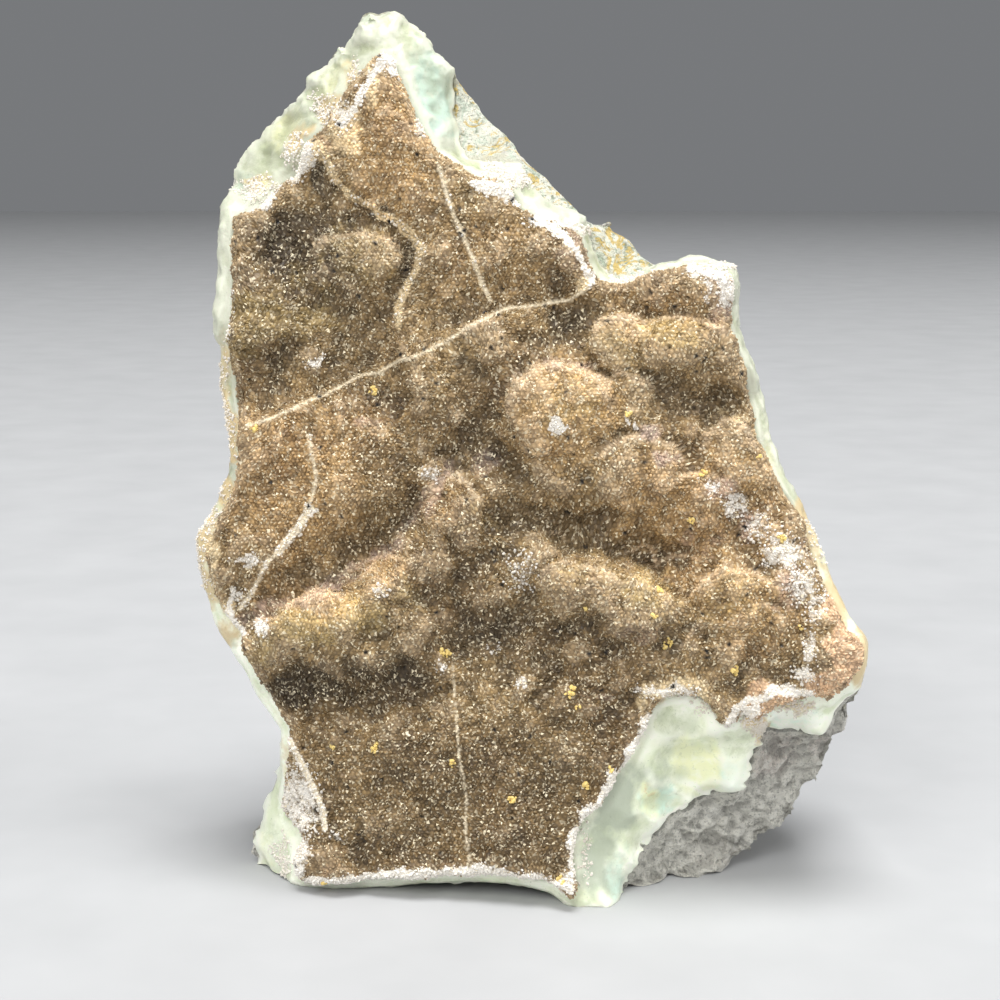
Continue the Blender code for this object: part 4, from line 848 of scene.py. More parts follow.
def quartz_material(name, tones, few=0.95, white=0.0):
    """Brown sugar quartz with its stains, grain by grain, with painted shade, painted highlights and painted glints"""
    material, tree, shader = new_material(name)
    grain = value_of(tree, "grain")
    glint = value_of(tree, "glint")
    broad = noise_node(tree, 70.0, 3.0)
    base = mix(tree, ramp(tree, broad, 0.35, 0.65), tones.dark, tones.brown)
    middle = noise_node(tree, 420.0, 3.0)
    base = mix(tree, ramp(tree, middle, 0.4, 0.7, 0.0, 0.55), base, tinted(tones.brown, 1.25))
    # Smoky tone and painted shade in the smoke patches, then painted shade in the creases
    base = mix(tree, patchy(tree, "smoke_and_shade", 160.0, 1.6, 0.75), base, tones.smoke_and_shade)
    base = mix(tree, ramp(tree, value_of(tree, "crease"), 0.0, 1.0, 0.0, 0.55), base, tones.smoke_and_shade)
    # Paler frosted grains with painted highlight on the bulges and on the upper rims of the lumps
    base = mix(tree, patchy(tree, "ridge", 900.0, 1.3, 0.34), base, tones.frosted_lit_rim)
    base = mix(tree, patchy(tree, "frosted_lit_rim", 900.0, 1.8, 0.75), base, tones.frosted_lit_rim)
    base = mix(tree, patchy(tree, "gold", 420.0, 1.6, 0.75), base, tones.gold)
    base = mix(tree, patchy(tree, "lilac", 420.0, 1.8, 0.65), base, tones.lilac)
    base = mix(tree, patchy(tree, "peach", 500.0, 2.4, 0.9), base, tones.peach)
    base = mix(tree, patchy(tree, "cream", 500.0, 2.4, 0.9), base, tones.cream)
    light = mix(tree, ramp(tree, grain, 0.0, 1.0), (0.62, 0.61, 0.60), (1.34, 1.33, 1.30))
    base = mix(tree, 1.0, base, light, "MULTIPLY")
    # Painted shade in the gaps between the grains and painted light on their tips
    tip_light_gap_shade = mix(tree, value_of(tree, "tip"), (0.70, 0.68, 0.66), (1.16, 1.16, 1.15))
    base = mix(tree, 1.0 - white, base, tip_light_gap_shade, "MULTIPLY")
    # Painted shade darkens the deep patches and painted light brightens the lit ones
    deep = mix(tree, patchy(tree, "deep", 300.0, 1.2), (1.0, 1.0, 1.0), (0.70, 0.68, 0.64))
    base = mix(tree, 1.0, base, deep, "MULTIPLY")
    lit = mix(tree, patchy(tree, "lit", 300.0, 1.2), (1.0, 1.0, 1.0), (1.44, 1.38, 1.32))
    base = mix(tree, 1.0, base, lit, "MULTIPLY")
    base = mix(tree, patchy(tree, "sugar", 1100.0, 3.0, 0.92), base, tones.sugar)
    base = mix(tree, value_of(tree, "vein"), base, tones.healed)
    # Painted glints: a few random facets are coloured pale cream
    dim = ramp(tree, glint, few - 0.15, few - 0.10, 0.0, 0.34)
    base = mix(tree, dim, base, tones.spark)
    bright = ramp(tree, glint, few, few + 0.02, 0.0, 0.85)
    base = mix(tree, bright, base, tones.spark)
    if white:
        base = mix(tree, white, base, tones.sugar)
    # Painted shade, near black, in the pinholes
    base = mix(tree, value_of(tree, "pit"), base, (0.012, 0.010, 0.009))
    tree.links.new(base, shader.inputs["Base Color"])
    rough = ramp(tree, glint, 0.0, 1.0, 0.72, 0.34)
    tree.links.new(rough, shader.inputs["Roughness"])
    shader.inputs["IOR"].default_value = 1.544
    shader.inputs["Specular IOR Level"].default_value = 0.35
    return material


def mark_crust(mesh):
    """Stores the veins, stains, painted shade and painted light of the crust on a mesh"""
    marks = place_on_plane(points_of(mesh))
    vein = np.zeros(len(marks))
    exact = marks
    marks = strayed(exact, 3.2, 1.3)
    sugar = patches(strayed(exact, 1.6, 0.7), SUGAR)
    for half, height, crystals, line in VEINS:
        d = off_line(exact + (marks - exact) * 0.10, line)
        vein = np.maximum(vein, 1.0 - soft(half * 0.7, half * 1.6, d))
        sugar = np.maximum(sugar, crystals * (1.0 - soft(half * 0.8, half * 2.0, d)))
    wavy = strayed(exact, 1.9, 0.8)
    for half, line in FROSTED_EDGES:
        sugar = np.maximum(sugar, 0.9 * (1.0 - soft(half * 0.5, half * 1.7, off_line(wavy, line))))
    for across, up, radius in CHIPS:
        sugar = np.maximum(sugar, 1.0 - soft(radius * 0.8, radius, np.hypot(wavy[:, 0] - across, wavy[:, 1] - up)))
    bent = strayed(exact, 4.5, 1.2)
    side = side_of(strayed(exact, 2.4, 0.4), SLAB_EDGE)
    edge = soft(-0.4, 0.0, side) * (1.0 - soft(0.3, 1.1, side))
    ridge = 1.0 - soft(0.4, 2.0, off_line(marks, RIDGE_EDGE))
    keep_values(mesh, "vein", vein * 0.85)
    keep_values(mesh, "sugar", np.maximum(sugar, edge * 0.18))
    keep_values(mesh, "cream", np.maximum(patches(marks, CREAM), edge * 1.1))
    keep_values(mesh, "peach", patches(marks, PEACH))
    keep_values(mesh, "gold", patches(marks, GOLD))
    keep_values(mesh, "lilac", np.maximum(patches(marks, LILAC), ridge * 0.45))
    # Smoky tone with painted shade, then patches of painted shade and of painted light
    keep_values(mesh, "smoke_and_shade", patches(marks, SMOKE_AND_SHADE))
    keep_values(mesh, "deep", patches(marks, PAINTED_SHADE_PATCHES))
    keep_values(mesh, "lit", patches(marks, PAINTED_LIGHT_PATCHES))
    # Upper rims of the lumps, upper side only: frosted grains with painted highlight
    frosted_lit_rim = np.zeros(len(marks))
    for lump in DOMES:
        d, above = lump_reach(bent, lump)
        frosted_lit_rim = np.maximum(frosted_lit_rim, np.exp(-((d - 0.86) / 0.12) ** 2) * soft(-0.2, 0.6, above) * min(1.0, lump[4]))
    keep_values(mesh, "frosted_lit_rim", frosted_lit_rim)
    speck = np.zeros(len(marks))
    for across, up, radius in OCHRE:
        d = np.hypot(exact[:, 0] - across, exact[:, 1] - up)
        speck = np.maximum(speck, 1.0 - soft(radius * 0.6, radius, d))
    keep_values(mesh, "ochre", speck)


class GEODE_OT_druse(bpy.types.Operator):
    """Grows the sugar quartz all over the crust"""
    bl_idname = "geode.druse"
    bl_label = "Crystal crust"

    def execute(self, context):
        sizes = context.scene.geode_crystals
        rng = np.random.default_rng(SEED)
        piece = copy_of("druzy_crust", "druse")
        mesh = piece.data
        pick_faces(piece, face_normals_of(mesh)[:, 1] < 0.30)
        bpy.ops.mesh.subdivide(number_cuts=3, smoothness=0.0)
        bpy.ops.mesh.vertices_smooth(factor=0.5, repeat=4)
        bpy.ops.object.mode_set(mode="OBJECT")

        points = points_of(mesh)
        normals = normals_of(mesh)
        marks = place_on_plane(points)
        face = soft(0.15, -0.25, normals[:, 1])
        bent = strayed(marks, 4.5, 1.2)
        raised = np.zeros(len(points))
        moat = np.zeros(len(points))
        for lump in DOMES:
            d, above = lump_reach(bent, lump)
            raised = np.maximum(raised, lump[4] * np.clip(1.0 - d ** 2.6, 0.0, 1.0) ** 0.75)
            ring = np.exp(-((d - 1.08) / 0.13) ** 2) * soft(-0.2, 0.5, above)
            moat = np.maximum(moat, 0.40 * lump[4] * ring)
        raised = np.where(raised > moat, raised, -moat)
        side = side_of(strayed(marks, 2.4, 0.4), SLAB_EDGE)
        lip = soft(-0.5, 0.2, side) * (1.0 - soft(1.5, 12.0, side))
        raised = raised - 0.20 * soft(-3.0, -0.6, side) * (side < -0.4) + 0.26 * lip
        for half, height, crystals, line in VEINS:
            d = off_line(marks, line)
            raised = raised + height * (1.0 - soft(half * 0.6, half * 2.6, d))
        points = points + normals * (raised * face * MM)[:, None]
        points[:, 1] += 0.7 * MM * soft(0.2, 0.6, normals[:, 1])
        move_points(mesh, points)
        cut_long_edges(piece, 0.92 * MM)
        marks = place_on_plane(points_of(mesh))
        face = soft(0.15, -0.25, normals_of(mesh)[:, 1])
        group = add_group(piece, "face", face)
        lumpy = add_group(piece, "lumpy", face * (1.0 - 0.85 * patches(marks, SMOOTH)))
        roughen(piece, "VORONOI", 5.2, -1.3, lumpy, 0.35, weight_1=1.0, noise_intensity=1.0)
        roughen(piece, "VORONOI", 2.3, -0.9, lumpy, 0.35, weight_1=1.0, noise_intensity=1.0)
        roughen(piece, "CLOUDS", 3.0, 0.45, group, noise_depth=1)
        move_points(mesh, held_in(points_of(mesh)))

        pick_faces(piece, face_normals_of(mesh)[:, 1] < 0.30)
        bpy.ops.mesh.vertices_smooth(factor=0.5, repeat=1)
        bpy.ops.transform.vertex_random(offset=0.36 * MM, uniform=0.0, normal=0.0, seed=SEED)
        bpy.ops.object.mode_set(mode="OBJECT")
        piece.vertex_groups.clear()
        turn_into_cells(piece)
        mesh = piece.data
        keep_values(mesh, "grain", rng.random(len(mesh.polygons)), "FACE")
        before = len(mesh.vertices)
        pick_faces(piece, face_normals_of(mesh)[:, 1] < 0.42)
        bpy.ops.mesh.poke(offset=sizes.grain_height)
        bpy.ops.object.mode_set(mode="OBJECT")
        mesh = piece.data
        points = points_of(mesh)
        apex = len(points) - before
        shift = rng.normal(0.0, 1.0, (apex, 3)) * sizes.grain_jitter
        points[before:] += np.clip(shift, -2.0 * sizes.grain_jitter, 2.0 * sizes.grain_jitter)
        holes = rng.choice(apex, 170, replace=False) + before
        normals = normals_of(mesh)
        points[holes] -= normals[holes] * 0.34 * MM
        move_points(mesh, points)
        keep_values(mesh, "tip", np.arange(len(points)) >= before)
        mark_crust(mesh)
        hollow_of(mesh, 60, 0.34)
        # Points round each pinhole, which the material paints with near-black shade
        pit = np.zeros(len(points))
        near = KDTree(len(points))
        for index, point in enumerate(points):
            near.insert(point, index)
        near.balance()
        for hole in holes:
            for place, index, d in near.find_range(points[hole] + normals[hole] * 0.2 * MM, 0.30 * MM):
                pit[index] = 1.0
        keep_values(mesh, "pit", pit)
        keep_values(mesh, "glint", rng.random(len(mesh.polygons)), "FACE")
        keep_values(mesh, "all", face_share(mesh))
        mesh.materials.append(quartz_material("Brown sugar quartz", sizes))
        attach(piece, "root")
        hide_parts("druzy_crust")
        return {"FINISHED"}


def face_share(mesh):
    """1 on the open face of the crust, 0 round its back"""
    return soft(0.30, 0.0, normals_of(mesh)[:, 1])


class GEODE_OT_points(bpy.types.Operator):
    """Stands larger quartz points, white crystals and ochre grains on the crust"""
    bl_idname = "geode.points"
    bl_label = "Quartz points and grains"

    def execute(self, context):
        sizes = context.scene.geode_crystals
        host = bpy.data.objects["druse"]
        sharp = quartz_point("point", 0.7, 0.62)
        piece = scatter("druse_points", host, sharp, "all", sizes.point_density,
                        sizes.point_size * 0.42, sizes.point_size, 0.75, 0.10, SEED)
        piece.data.materials.append(quartz_material("Brown quartz points", sizes, 0.84))
        white = scatter("sugar_crystals", host, sharp, "sugar", sizes.sugar_density,
                        sizes.sugar_size * 0.35, sizes.sugar_size, 0.95, 0.18, SEED + 7)
        white.data.materials.append(quartz_material("White sugar quartz", sizes, 0.9, 0.8))
        ochre = scatter("ochre_grains", host, sharp, "ochre", 9.0,
                        sizes.ochre_size * 0.5, sizes.ochre_size, 1.2, 0.22, SEED + 13)
        ochre.data.materials.append(ochre_material(context.scene.geode_stone))
        bpy.data.objects.remove(sharp)
        for made in (piece, white, ochre):
            stand_on_floor(made.data)
            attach(made, "root")
        return {"FINISHED"}


def ochre_material(tones):
    """Earthy yellow grains"""
    material, tree, shader = new_material("Ochre grains")
    grain = value_of(tree, "grain")
    base = mix(tree, ramp(tree, grain, 0.0, 1.0), tones.ochre, tinted(tones.ochre, 1.3))
    fine = noise_node(tree, 2600.0)
    base = mix(tree, ramp(tree, fine, 0.4, 0.7, 0.0, 0.5), base, (0.85, 0.70, 0.32))
    tree.links.new(base, shader.inputs["Base Color"])
    tree.links.new(ramp(tree, fine, 0.2, 0.8, 0.45, 0.85), shader.inputs["Roughness"])
    return material


def chalcedony_material(tones):
    """Waxy, slightly clear chalcedony in mint, aqua, lemon and white, with painted light low down, painted shade higher
    up and in its creases, and painted highlight on its ridges and edges
    """
    material, tree, shader = new_material("Pale green chalcedony")
    broad = noise_node(tree, 120.0, 4.0, 0.6, 0.8)
    fine = noise_node(tree, 700.0, 4.0, 0.6)
    base = mix(tree, ramp(tree, broad, 0.35, 0.7), tones.mint, tinted(tones.frost, 0.92))
    cloud = noise_node(tree, 260.0, 5.0, 0.7, 1.5)
    base = mix(tree, ramp(tree, cloud, 0.46, 0.38, 0.0, 0.35), base, tinted(tones.mint, 0.76))
    base = mix(tree, patchy(tree, "aqua", 200.0, 1.5, 0.85), base, tones.aqua)
    base = mix(tree, patchy(tree, "lemon", 220.0, 1.6, 0.8), base, tones.lemon)
    base = mix(tree, patchy(tree, "rust", 700.0, 2.4, 0.75), base, tones.rust)
    base = mix(tree, patchy(tree, "frost", 350.0, 2.0, 0.9), base, tones.frost)
    # Bluish white edges: whitish seams with painted highlight
    base = mix(tree, value_of(tree, "edge"), base, tinted(tones.frost, 1.05))
    base = mix(tree, ramp(tree, fine, 0.52, 0.70, 0.0, 0.55), base, tinted(tones.frost, 1.05))
    sheet = noise_node(tree, 1300.0, 4.0, 0.7, 1.0)
    base = mix(tree, ramp(tree, sheet, 0.42, 0.34, 0.0, 0.35), base, tinted(tones.mint, 0.68))
    # Painted light on the lower part of the band, painted shade on its upper part
    painted_light_low_shade_high = mix(tree, value_of(tree, "low"), (0.85, 0.83, 0.79), (1.34, 1.33, 1.30))
    # Painted shade in the creases, painted highlight on the ridges
    base = mix(tree, ramp(tree, value_of(tree, "crease"), 0.0, 1.0, 0.0, 0.45), base, tinted(tones.mint, 0.62))
    base = mix(tree, ramp(tree, value_of(tree, "ridge"), 0.0, 1.0, 0.0, 0.7), base, tinted(tones.frost, 1.05))
    base = mix(tree, 1.0, base, painted_light_low_shade_high, "MULTIPLY")
    base = mix(tree, patchy(tree, "shade", 260.0, 1.1, 0.85), base, (0.44, 0.49, 0.38))
    base = mix(tree, patchy(tree, "honey", 300.0, 1.8, 0.9), base, tones.honey)
    speck = noise_node(tree, 2400.0, 2.0)
    base = mix(tree, ramp(tree, speck, 0.66, 0.74, 0.0, 0.35), base, (0.30, 0.36, 0.26))
    tree.links.new(base, shader.inputs["Base Color"])
    tree.links.new(ramp(tree, fine, 0.2, 0.8, 0.26, 0.46), shader.inputs["Roughness"])
    shader.inputs["Subsurface Weight"].default_value = 0.28
    shader.inputs["Subsurface Radius"].default_value = (0.8, 1.0, 0.85)
    shader.inputs["Subsurface Scale"].default_value = 1.0 * MM
    shader.inputs["IOR"].default_value = 1.54
    small = noise_node(tree, 1500.0, 4.0, 0.65)
    bump = put(tree, "ShaderNodeBump", {"Strength": 0.35, "Distance": 0.25 * MM, "Height": small})
    tree.links.new(bump.outputs[0], shader.inputs["Normal"])
    return material


class GEODE_OT_chalcedony(bpy.types.Operator):
    """Breaks the chalcedony band into shelly scoops and colours it"""
    bl_idname = "geode.chalcedony"
    bl_label = "Chalcedony band"

    def execute(self, context):
        tones = context.scene.geode_stone
        piece = copy_of("chalcedony_layer", "chalcedony_band")
        mesh = piece.data
        pick_faces(piece, face_normals_of(mesh)[:, 1] < 0.6)
        bpy.ops.mesh.subdivide(number_cuts=6, smoothness=0.0)
        bpy.ops.mesh.vertices_smooth(factor=0.5, repeat=6)
        bpy.ops.object.mode_set(mode="OBJECT")
        normals = normals_of(mesh)
        bare = soft(0.6, 1.5, distance_to("druzy_crust", points_of(mesh)) / MM)
        dip = np.zeros(len(points_of(mesh)))
        bent = strayed(place_on_plane(points_of(mesh)), 4.0, 0.9)
        for across, up, wide, high, depth in SCOOPS:
            d = np.hypot((bent[:, 0] - across) / wide, (bent[:, 1] - up) / high)
            dip = np.maximum(dip, depth * np.clip(1.0 - d * d, 0.0, 1.0))
        inner = soft(0.2, 1.8, distance_to("host_rock", points_of(mesh)) / MM)
        open_face = soft(0.5, 0.0, normals[:, 1]) * bare * inner
        points = points_of(mesh) - normals * ((dip - 0.35) * open_face * MM)[:, None]
        points[:, 1] += 1.0 * MM * soft(0.3, 0.7, normals[:, 1])
        marks = place_on_plane(points)
        ragged = (strayed(marks, 2.6, 1.5) - marks) * (bare * (1.0 - inner) * soft(40.0, 34.0, marks[:, 1])
                                                    * soft(38.0, 34.0, marks[:, 0]))[:, None]
        points[:, 0] += ragged[:, 0] * MM
        points[:, 2] += ragged[:, 1] * MM * soft(1.0, 3.0, marks[:, 1])
        move_points(mesh, points)
        high = soft(30.0, 60.0, bent[:, 1])
        group = add_group(piece, "face", soft(0.75, 0.25, normals[:, 1]) * bare * (0.45 + 0.55 * high)
                          * (0.2 + 0.8 * np.maximum(inner, high)))
        chips = add_group(piece, "chips", soft(0.75, 0.25, normals[:, 1]) * bare * (0.12 + 0.88 * high))
        roughen(piece, "VORONOI", 7.0, 1.0, group, weight_1=1.0, noise_intensity=1.0)
        roughen(piece, "VORONOI", 2.2, 0.6, chips, weight_1=1.0, noise_intensity=1.0)
        roughen(piece, "VORONOI", 0.9, 0.24, chips, weight_1=1.0, noise_intensity=1.0)
        points = points_of(mesh)
        open_points = KDTree(int((bare > 0.9).sum()))
        for index, point in enumerate(points[bare > 0.9]):
            open_points.insert(point, index)
        open_points.balance()
        hidden = np.array([open_points.find(point)[2] if part < 0.9 else 0.0
                           for point, part in zip(points, bare)]) / MM
        points[:, 1] += 1.1 * MM * soft(1.5, 3.5, hidden) * soft(0.2, -0.3, normals[:, 1])
        move_points(mesh, points)
        stand_on_floor(mesh)
        hollow_of(mesh, 20, 0.22)
        marks = place_on_plane(points)
        front = soft(0.5, 0.1, normals_of(mesh)[:, 1])
        # The lower part of the band gets painted light in the material, the upper part painted shade
        low = soft(60.0, 38.0, marks[:, 1])
        keep_values(mesh, "low", low)
        for name, table in (("aqua", AQUA), ("lemon", LEMON), ("honey", HONEY), ("rust", RUST), ("frost", FROST),
                            ("shade", SHADE), ("dusted", DUSTED)):
            keep_values(mesh, name, patches(strayed(marks, 3.0, 1.6), table) * front)
        edge = np.zeros(len(points))
        for half, line in BAND_EDGES:
            edge = np.maximum(edge, 1.0 - soft(half * 0.4, half * 1.6, off_line(strayed(marks, 2.0, 0.5), line)))
        keep_values(mesh, "edge", edge * front * 0.85)
        mark_crust(mesh)
        mesh.materials.append(chalcedony_material(tones))
        piece.vertex_groups.clear()
        sizes = context.scene.geode_crystals
        sharp = quartz_point("point", 0.7, 0.62)
        dusting = scatter("rim_crystals", piece, sharp, "dusted", 13.0,
                          sizes.sugar_size * 0.4, sizes.sugar_size * 1.1, 0.95, 0.18, SEED + 19)
        dusting.data.materials.append(quartz_material("Cream sugar quartz", sizes, 0.9, 0.80))
        bpy.data.objects.remove(sharp)
        stand_on_floor(dusting.data)
        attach(dusting, "root")
        only(piece)
        bpy.ops.object.shade_smooth_by_angle(angle=math.radians(24.0))
        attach(piece, "root")
        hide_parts("chalcedony_layer")
        return {"FINISHED"}


def rock_material(tones):
    """Grey altered lava with pits, pale faces and a mottled yellow and green top, with painted highlight on its ridges,
    painted shade in its creases and a painted shadow along the chalcedony
    """
    material, tree, shader = new_material("Grey host rock")
    broad = noise_node(tree, 60.0, 5.0, 0.6)
    fine = noise_node(tree, 900.0, 5.0, 0.7)
    sand = noise_node(tree, 3200.0, 2.0, 0.6)
    base = mix(tree, ramp(tree, broad, 0.35, 0.68), tinted(tones.grey, 0.88), tinted(tones.grey, 1.15))
    base = mix(tree, patchy(tree, "pinkish", 240.0, 1.6, 0.8), base, tones.pink)
    base = mix(tree, patchy(tree, "chalky", 300.0, 2.2, 0.9), base, tones.chalk)
    base = mix(tree, ramp(tree, fine, 0.50, 0.60, 0.0, 0.75), base, tones.chalk)
    base = mix(tree, ramp(tree, fine, 0.47, 0.38, 0.0, 0.60), base, tones.slate)
    base = mix(tree, patchy(tree, "dark_streak", 500.0, 2.0, 0.7), base, tones.slate)
    blotch = noise_node(tree, 420.0, 4.0, 0.65, 1.2)
    altered = mix(tree, ramp(tree, blotch, 0.38, 0.50), (0.34, 0.38, 0.28), (0.84, 0.84, 0.72))
    veiny = noise_node(tree, 300.0, 5.0, 0.70, 2.0)
    altered = mix(tree, ramp(tree, veiny, 0.52, 0.58, 0.0, 0.9), altered, tones.ochre)
    altered = mix(tree, ramp(tree, veiny, 0.46, 0.40, 0.0, 0.7), altered, (0.62, 0.71, 0.58))
    altered = mix(tree, ramp(tree, sand, 0.60, 0.68, 0.0, 0.6), altered, (0.14, 0.13, 0.09))
    base = mix(tree, ramp(tree, sand, 0.56, 0.66, 0.0, 0.45), base, tinted(tones.chalk, 1.1))
    base = mix(tree, ramp(tree, sand, 0.43, 0.34, 0.0, 0.45), base, tinted(tones.slate, 0.7))
    # Painted highlight on the ridges and painted shade in the creases
    base = mix(tree, ramp(tree, value_of(tree, "ridge"), 0.0, 1.0, 0.0, 0.6), base, tones.chalk)
    base = mix(tree, ramp(tree, value_of(tree, "crease"), 0.0, 1.0, 0.0, 0.42), base, tones.slate)
    base = mix(tree, patchy(tree, "rind", 500.0, 2.4, 0.8), base, tones.rind)
    base = mix(tree, patchy(tree, "mottled", 260.0, 4.0), base, altered)
    # Painted shadow in the crevice where the rock meets the chalcedony
    base = mix(tree, patchy(tree, "painted_crevice_shadow", 700.0, 2.4, 0.5), base, (0.07, 0.07, 0.06))
    tree.links.new(base, shader.inputs["Base Color"])
    tree.links.new(ramp(tree, fine, 0.2, 0.8, 0.72, 0.95), shader.inputs["Roughness"])
    shader.inputs["Specular IOR Level"].default_value = 0.30
    small = noise_node(tree, 1300.0, 5.0, 0.72)
    bump = put(tree, "ShaderNodeBump", {"Strength": 1.0, "Distance": 1.1 * MM, "Height": small})
    tree.links.new(bump.outputs[0], shader.inputs["Normal"])
    return material


class GEODE_OT_rock(bpy.types.Operator):
    """Gives the host rock its broken, pitted surface"""
    bl_idname = "geode.rock"
    bl_label = "Host rock"

    def execute(self, context):
        tones = context.scene.geode_stone
        piece = copy_of("host_rock", "rock_body")
        mesh = piece.data
        only(piece)
        bpy.ops.object.mode_set(mode="EDIT")
        bpy.ops.mesh.select_all(action="SELECT")
        bpy.ops.mesh.subdivide(number_cuts=2, smoothness=0.0)
        bpy.ops.mesh.vertices_smooth(factor=0.5, repeat=1)
        bpy.ops.object.mode_set(mode="OBJECT")
        points = points_of(mesh)
        free = soft(0.0, 0.6, points[:, 2] / MM)
        away = distance_to("chalcedony_layer", points) / MM
        normals = normals_of(mesh)
        marks = place_on_plane(points)
        open_rock = soft(0.0, 6.0, marks[:, 0]) * soft(40.0, 34.0, marks[:, 1])
        wall = (1.0 - np.abs(normals[:, 1])) * (1.0 - open_rock) * soft(24.0, 17.0, points[:, 1] / MM)
        behind = soft(0.3, 0.8, -normals[:, 1]) * (1.0 - open_rock)
        inward = (0.9 - 0.7 * open_rock) * (1.0 - behind) * soft(3.0, 0.6, away) + 1.5 * wall
        points = points - normals * (inward * MM)[:, None]
        points[:, 2] = np.where(free > 0.0, points[:, 2], 0.0)
        move_points(mesh, points)
        calm = free * (1.0 - 0.8 * wall) * (1.0 - 0.6 * soft(50.0, 75.0, marks[:, 1]))
        group = add_group(piece, "free", calm * soft(0.6, 5.0, away))
        near = add_group(piece, "near", calm * (0.04 + 0.96 * soft(0.6, 2.4, away)))
        cracked = {"weight_1": -1.0, "weight_2": 1.0, "noise_intensity": 1.0}
        roughen(piece, "VORONOI", 9.0, 2.4, group, 0.5, **cracked)
        roughen(piece, "CLOUDS", 5.0, 2.2, group, 0.5, noise_depth=2)
        pick_faces(piece, (face_normals_of(mesh)[:, 1] < 0.6) & (face_centres_of(mesh)[:, 0] > 5.0 * MM)
                   & (face_centres_of(mesh)[:, 2] < 34.0 * MM) & (face_centres_of(mesh)[:, 2] > 0.5 * MM))
        bpy.ops.transform.vertex_random(offset=0.25 * MM, uniform=0.0, normal=0.0, seed=SEED)
        bpy.ops.mesh.select_all(action="SELECT")
        bpy.ops.mesh.subdivide(number_cuts=1, smoothness=0.0)
        bpy.ops.object.mode_set(mode="OBJECT")
        pick_faces(piece, (face_normals_of(mesh)[:, 1] < 0.3) & (face_centres_of(mesh)[:, 0] > 5.0 * MM)
                   & (face_centres_of(mesh)[:, 2] < 36.0 * MM))
        bpy.ops.mesh.subdivide(number_cuts=1, smoothness=0.0)
        bpy.ops.object.mode_set(mode="OBJECT")
        roughen(piece, "VORONOI", 4.0, 1.7, near, 0.5, distance_metric="MANHATTAN", **cracked)
        roughen(piece, "VORONOI", 1.6, 0.4, near, 0.5, **cracked)
        roughen(piece, "CLOUDS", 1.4, 0.8, near, 0.5, noise_depth=3)
        only(piece)
        bpy.ops.object.mode_set(mode="EDIT")
        bpy.ops.mesh.select_all(action="SELECT")
        bpy.ops.transform.vertex_random(offset=0.06 * MM, uniform=0.0, normal=0.0, seed=SEED)
        bpy.ops.object.mode_set(mode="OBJECT")
        points = points_of(mesh)
        upper = soft(50.0, 56.0, place_on_plane(points)[:, 1])
        move_points(mesh, drawn_back(mesh, points, 0.45 * MM, upper))
        stand_on_floor(mesh)
        hollow_of(mesh, 10, 0.22)
        marks = place_on_plane(points_of(mesh))
        front = soft(0.6, 0.2, normals_of(mesh)[:, 1])
        for name, table in (("mottled", MOTTLED), ("pinkish", PINKISH), ("chalky", CHALKY),
                            ("dark_streak", DARK_STREAKS)):
            keep_values(mesh, name, patches(strayed(marks, 3.0, 1.4), table) * front)
        away = distance_to("chalcedony_layer", points_of(mesh)) / MM
        low_right = front * soft(0.0, 4.0, marks[:, 0]) * soft(40.0, 34.0, marks[:, 1])
        keep_values(mesh, "rind", soft(3.4, 0.9, away) * (1.0 - low_right))
        # Painted shadow along the crevice beside the chalcedony, low on the right
        keep_values(mesh, "painted_crevice_shadow", soft(0.9, 0.4, away) * low_right)
        mesh.materials.append(rock_material(tones))
        piece.vertex_groups.clear()
        only(piece)
        bpy.ops.object.shade_flat()
        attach(piece, "root")
        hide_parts("host_rock")
        return {"FINISHED"}


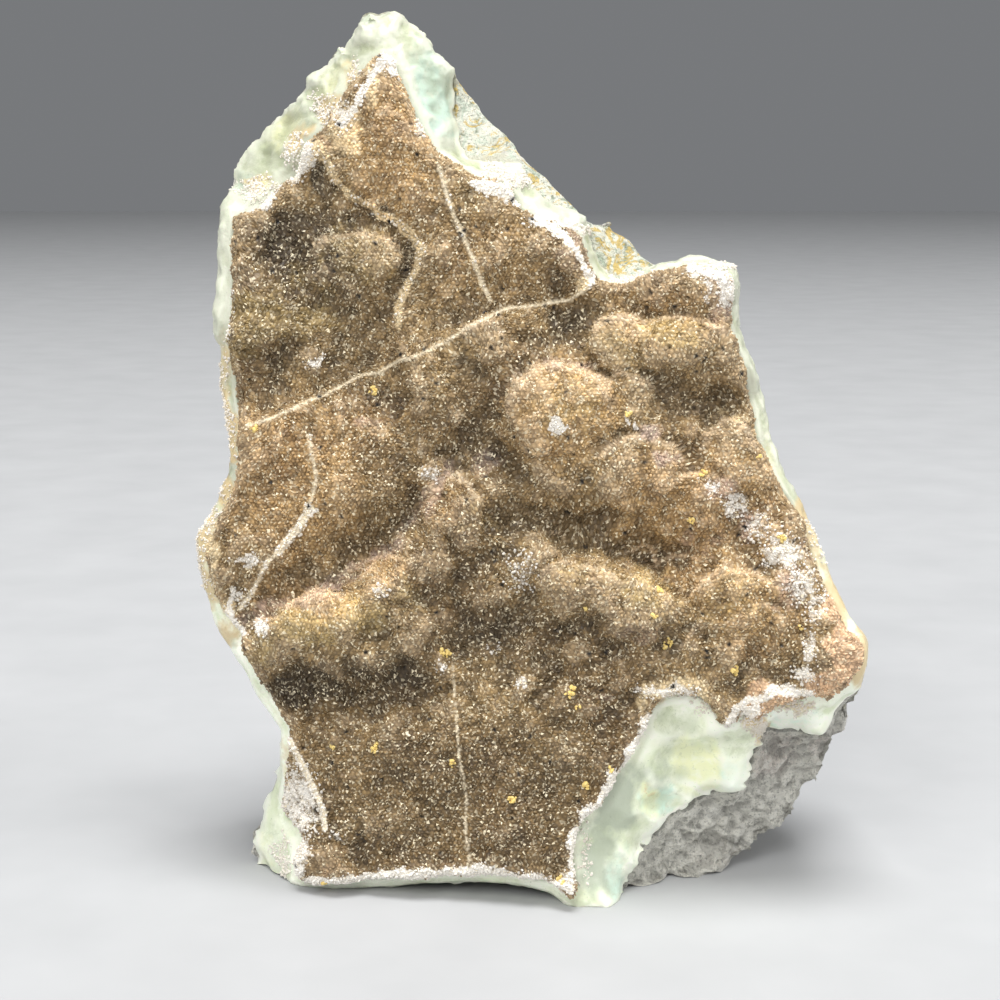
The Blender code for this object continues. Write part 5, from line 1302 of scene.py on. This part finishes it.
class GEODE_OT_stage(bpy.types.Operator):
    """Adds the floor, the soft lights and the camera"""
    bl_idname = "geode.stage"
    bl_label = "Stage"

    def execute(self, context):
        for other in bpy.context.view_layer.objects:
            other.select_set(False)
        bpy.ops.mesh.primitive_plane_add(size=6.0, location=(0.0, 0.0, 0.0))
        floor = bpy.context.object
        floor.name = "floor"
        material, tree, shader = new_material("Pale floor")
        paper = noise_node(tree, 40.0, 3.0)
        tone = mix(tree, ramp(tree, paper, 0.3, 0.7), (0.42, 0.425, 0.43), (0.455, 0.46, 0.465))
        tree.links.new(tone, shader.inputs["Base Color"])
        shader.inputs["Roughness"].default_value = 0.85
        floor.data.materials.append(material)

        world = bpy.data.worlds.new("Soft room")
        context.scene.world = world
        world.use_nodes = True
        back = world.node_tree.nodes["Background"]
        back.inputs[0].default_value = (0.93, 0.96, 1.0, 1.0)
        back.inputs[1].default_value = 0.20
        lamps = [
            ("top", (0.10, -0.40, 2.30), 1.20, 66.0),
            ("front", (-0.75, -1.70, 1.45), 1.30, 34.0),
            ("right", (1.70, -0.60, 0.90), 0.80, 15.0),
        ]
        for name, place, size, power in lamps:
            lamp = bpy.data.lights.new(name, "AREA")
            lamp.size = size
            lamp.energy = power
            holder = bpy.data.objects.new(name, lamp)
            context.scene.collection.objects.link(holder)
            holder.location = place
            aim = Vector((0.0, 0.0, 0.06)) - Vector(place)
            holder.rotation_euler = aim.to_track_quat("-Z", "Y").to_euler()

        camera = bpy.data.cameras.new("view")
        camera.lens = 72.0
        camera.sensor_width = 36.0
        camera.clip_start = 0.01
        holder = bpy.data.objects.new("view", camera)
        context.scene.collection.objects.link(holder)
        holder.location = Vector((SIGHT + RECENTRE) * MM)
        holder.rotation_euler = (math.radians(80.0), 0.0, 0.0)
        context.scene.camera = holder
        context.scene.view_settings.view_transform = "Standard"
        return {"FINISHED"}


class GEODE_PT_panel(bpy.types.Panel):
    """Lists the steps that build the geode piece"""
    bl_label = "Geode"
    bl_idname = "GEODE_PT_panel"
    bl_space_type = "VIEW_3D"
    bl_region_type = "UI"
    bl_category = "Geode"

    def draw(self, context):
        for group in (context.scene.geode_crystals, context.scene.geode_stone):
            box = self.layout.box()
            for key in group.__annotations__:
                box.prop(group, key)
        for step in STEPS:
            self.layout.operator(step.bl_idname)


STEPS = (GEODE_OT_druse, GEODE_OT_points, GEODE_OT_chalcedony, GEODE_OT_rock, GEODE_OT_stage)
CLASSES = (GeodeCrystals, GeodeStone, *STEPS, GEODE_PT_panel)


def register():
    """Adds the classes and their settings"""
    for each in CLASSES:
        bpy.utils.register_class(each)
    bpy.types.Scene.geode_crystals = bpy.props.PointerProperty(type=GeodeCrystals)
    bpy.types.Scene.geode_stone = bpy.props.PointerProperty(type=GeodeStone)


def unregister():
    """Takes them away again"""
    del bpy.types.Scene.geode_stone
    del bpy.types.Scene.geode_crystals
    for each in reversed(CLASSES):
        bpy.utils.unregister_class(each)


def main():
    """Builds the pieces in order"""
    register()
    bpy.ops.geode.druse()
    bpy.ops.geode.points()
    bpy.ops.geode.chalcedony()
    bpy.ops.geode.rock()
    bpy.ops.geode.stage()


if __name__ == "__main__":
    main()
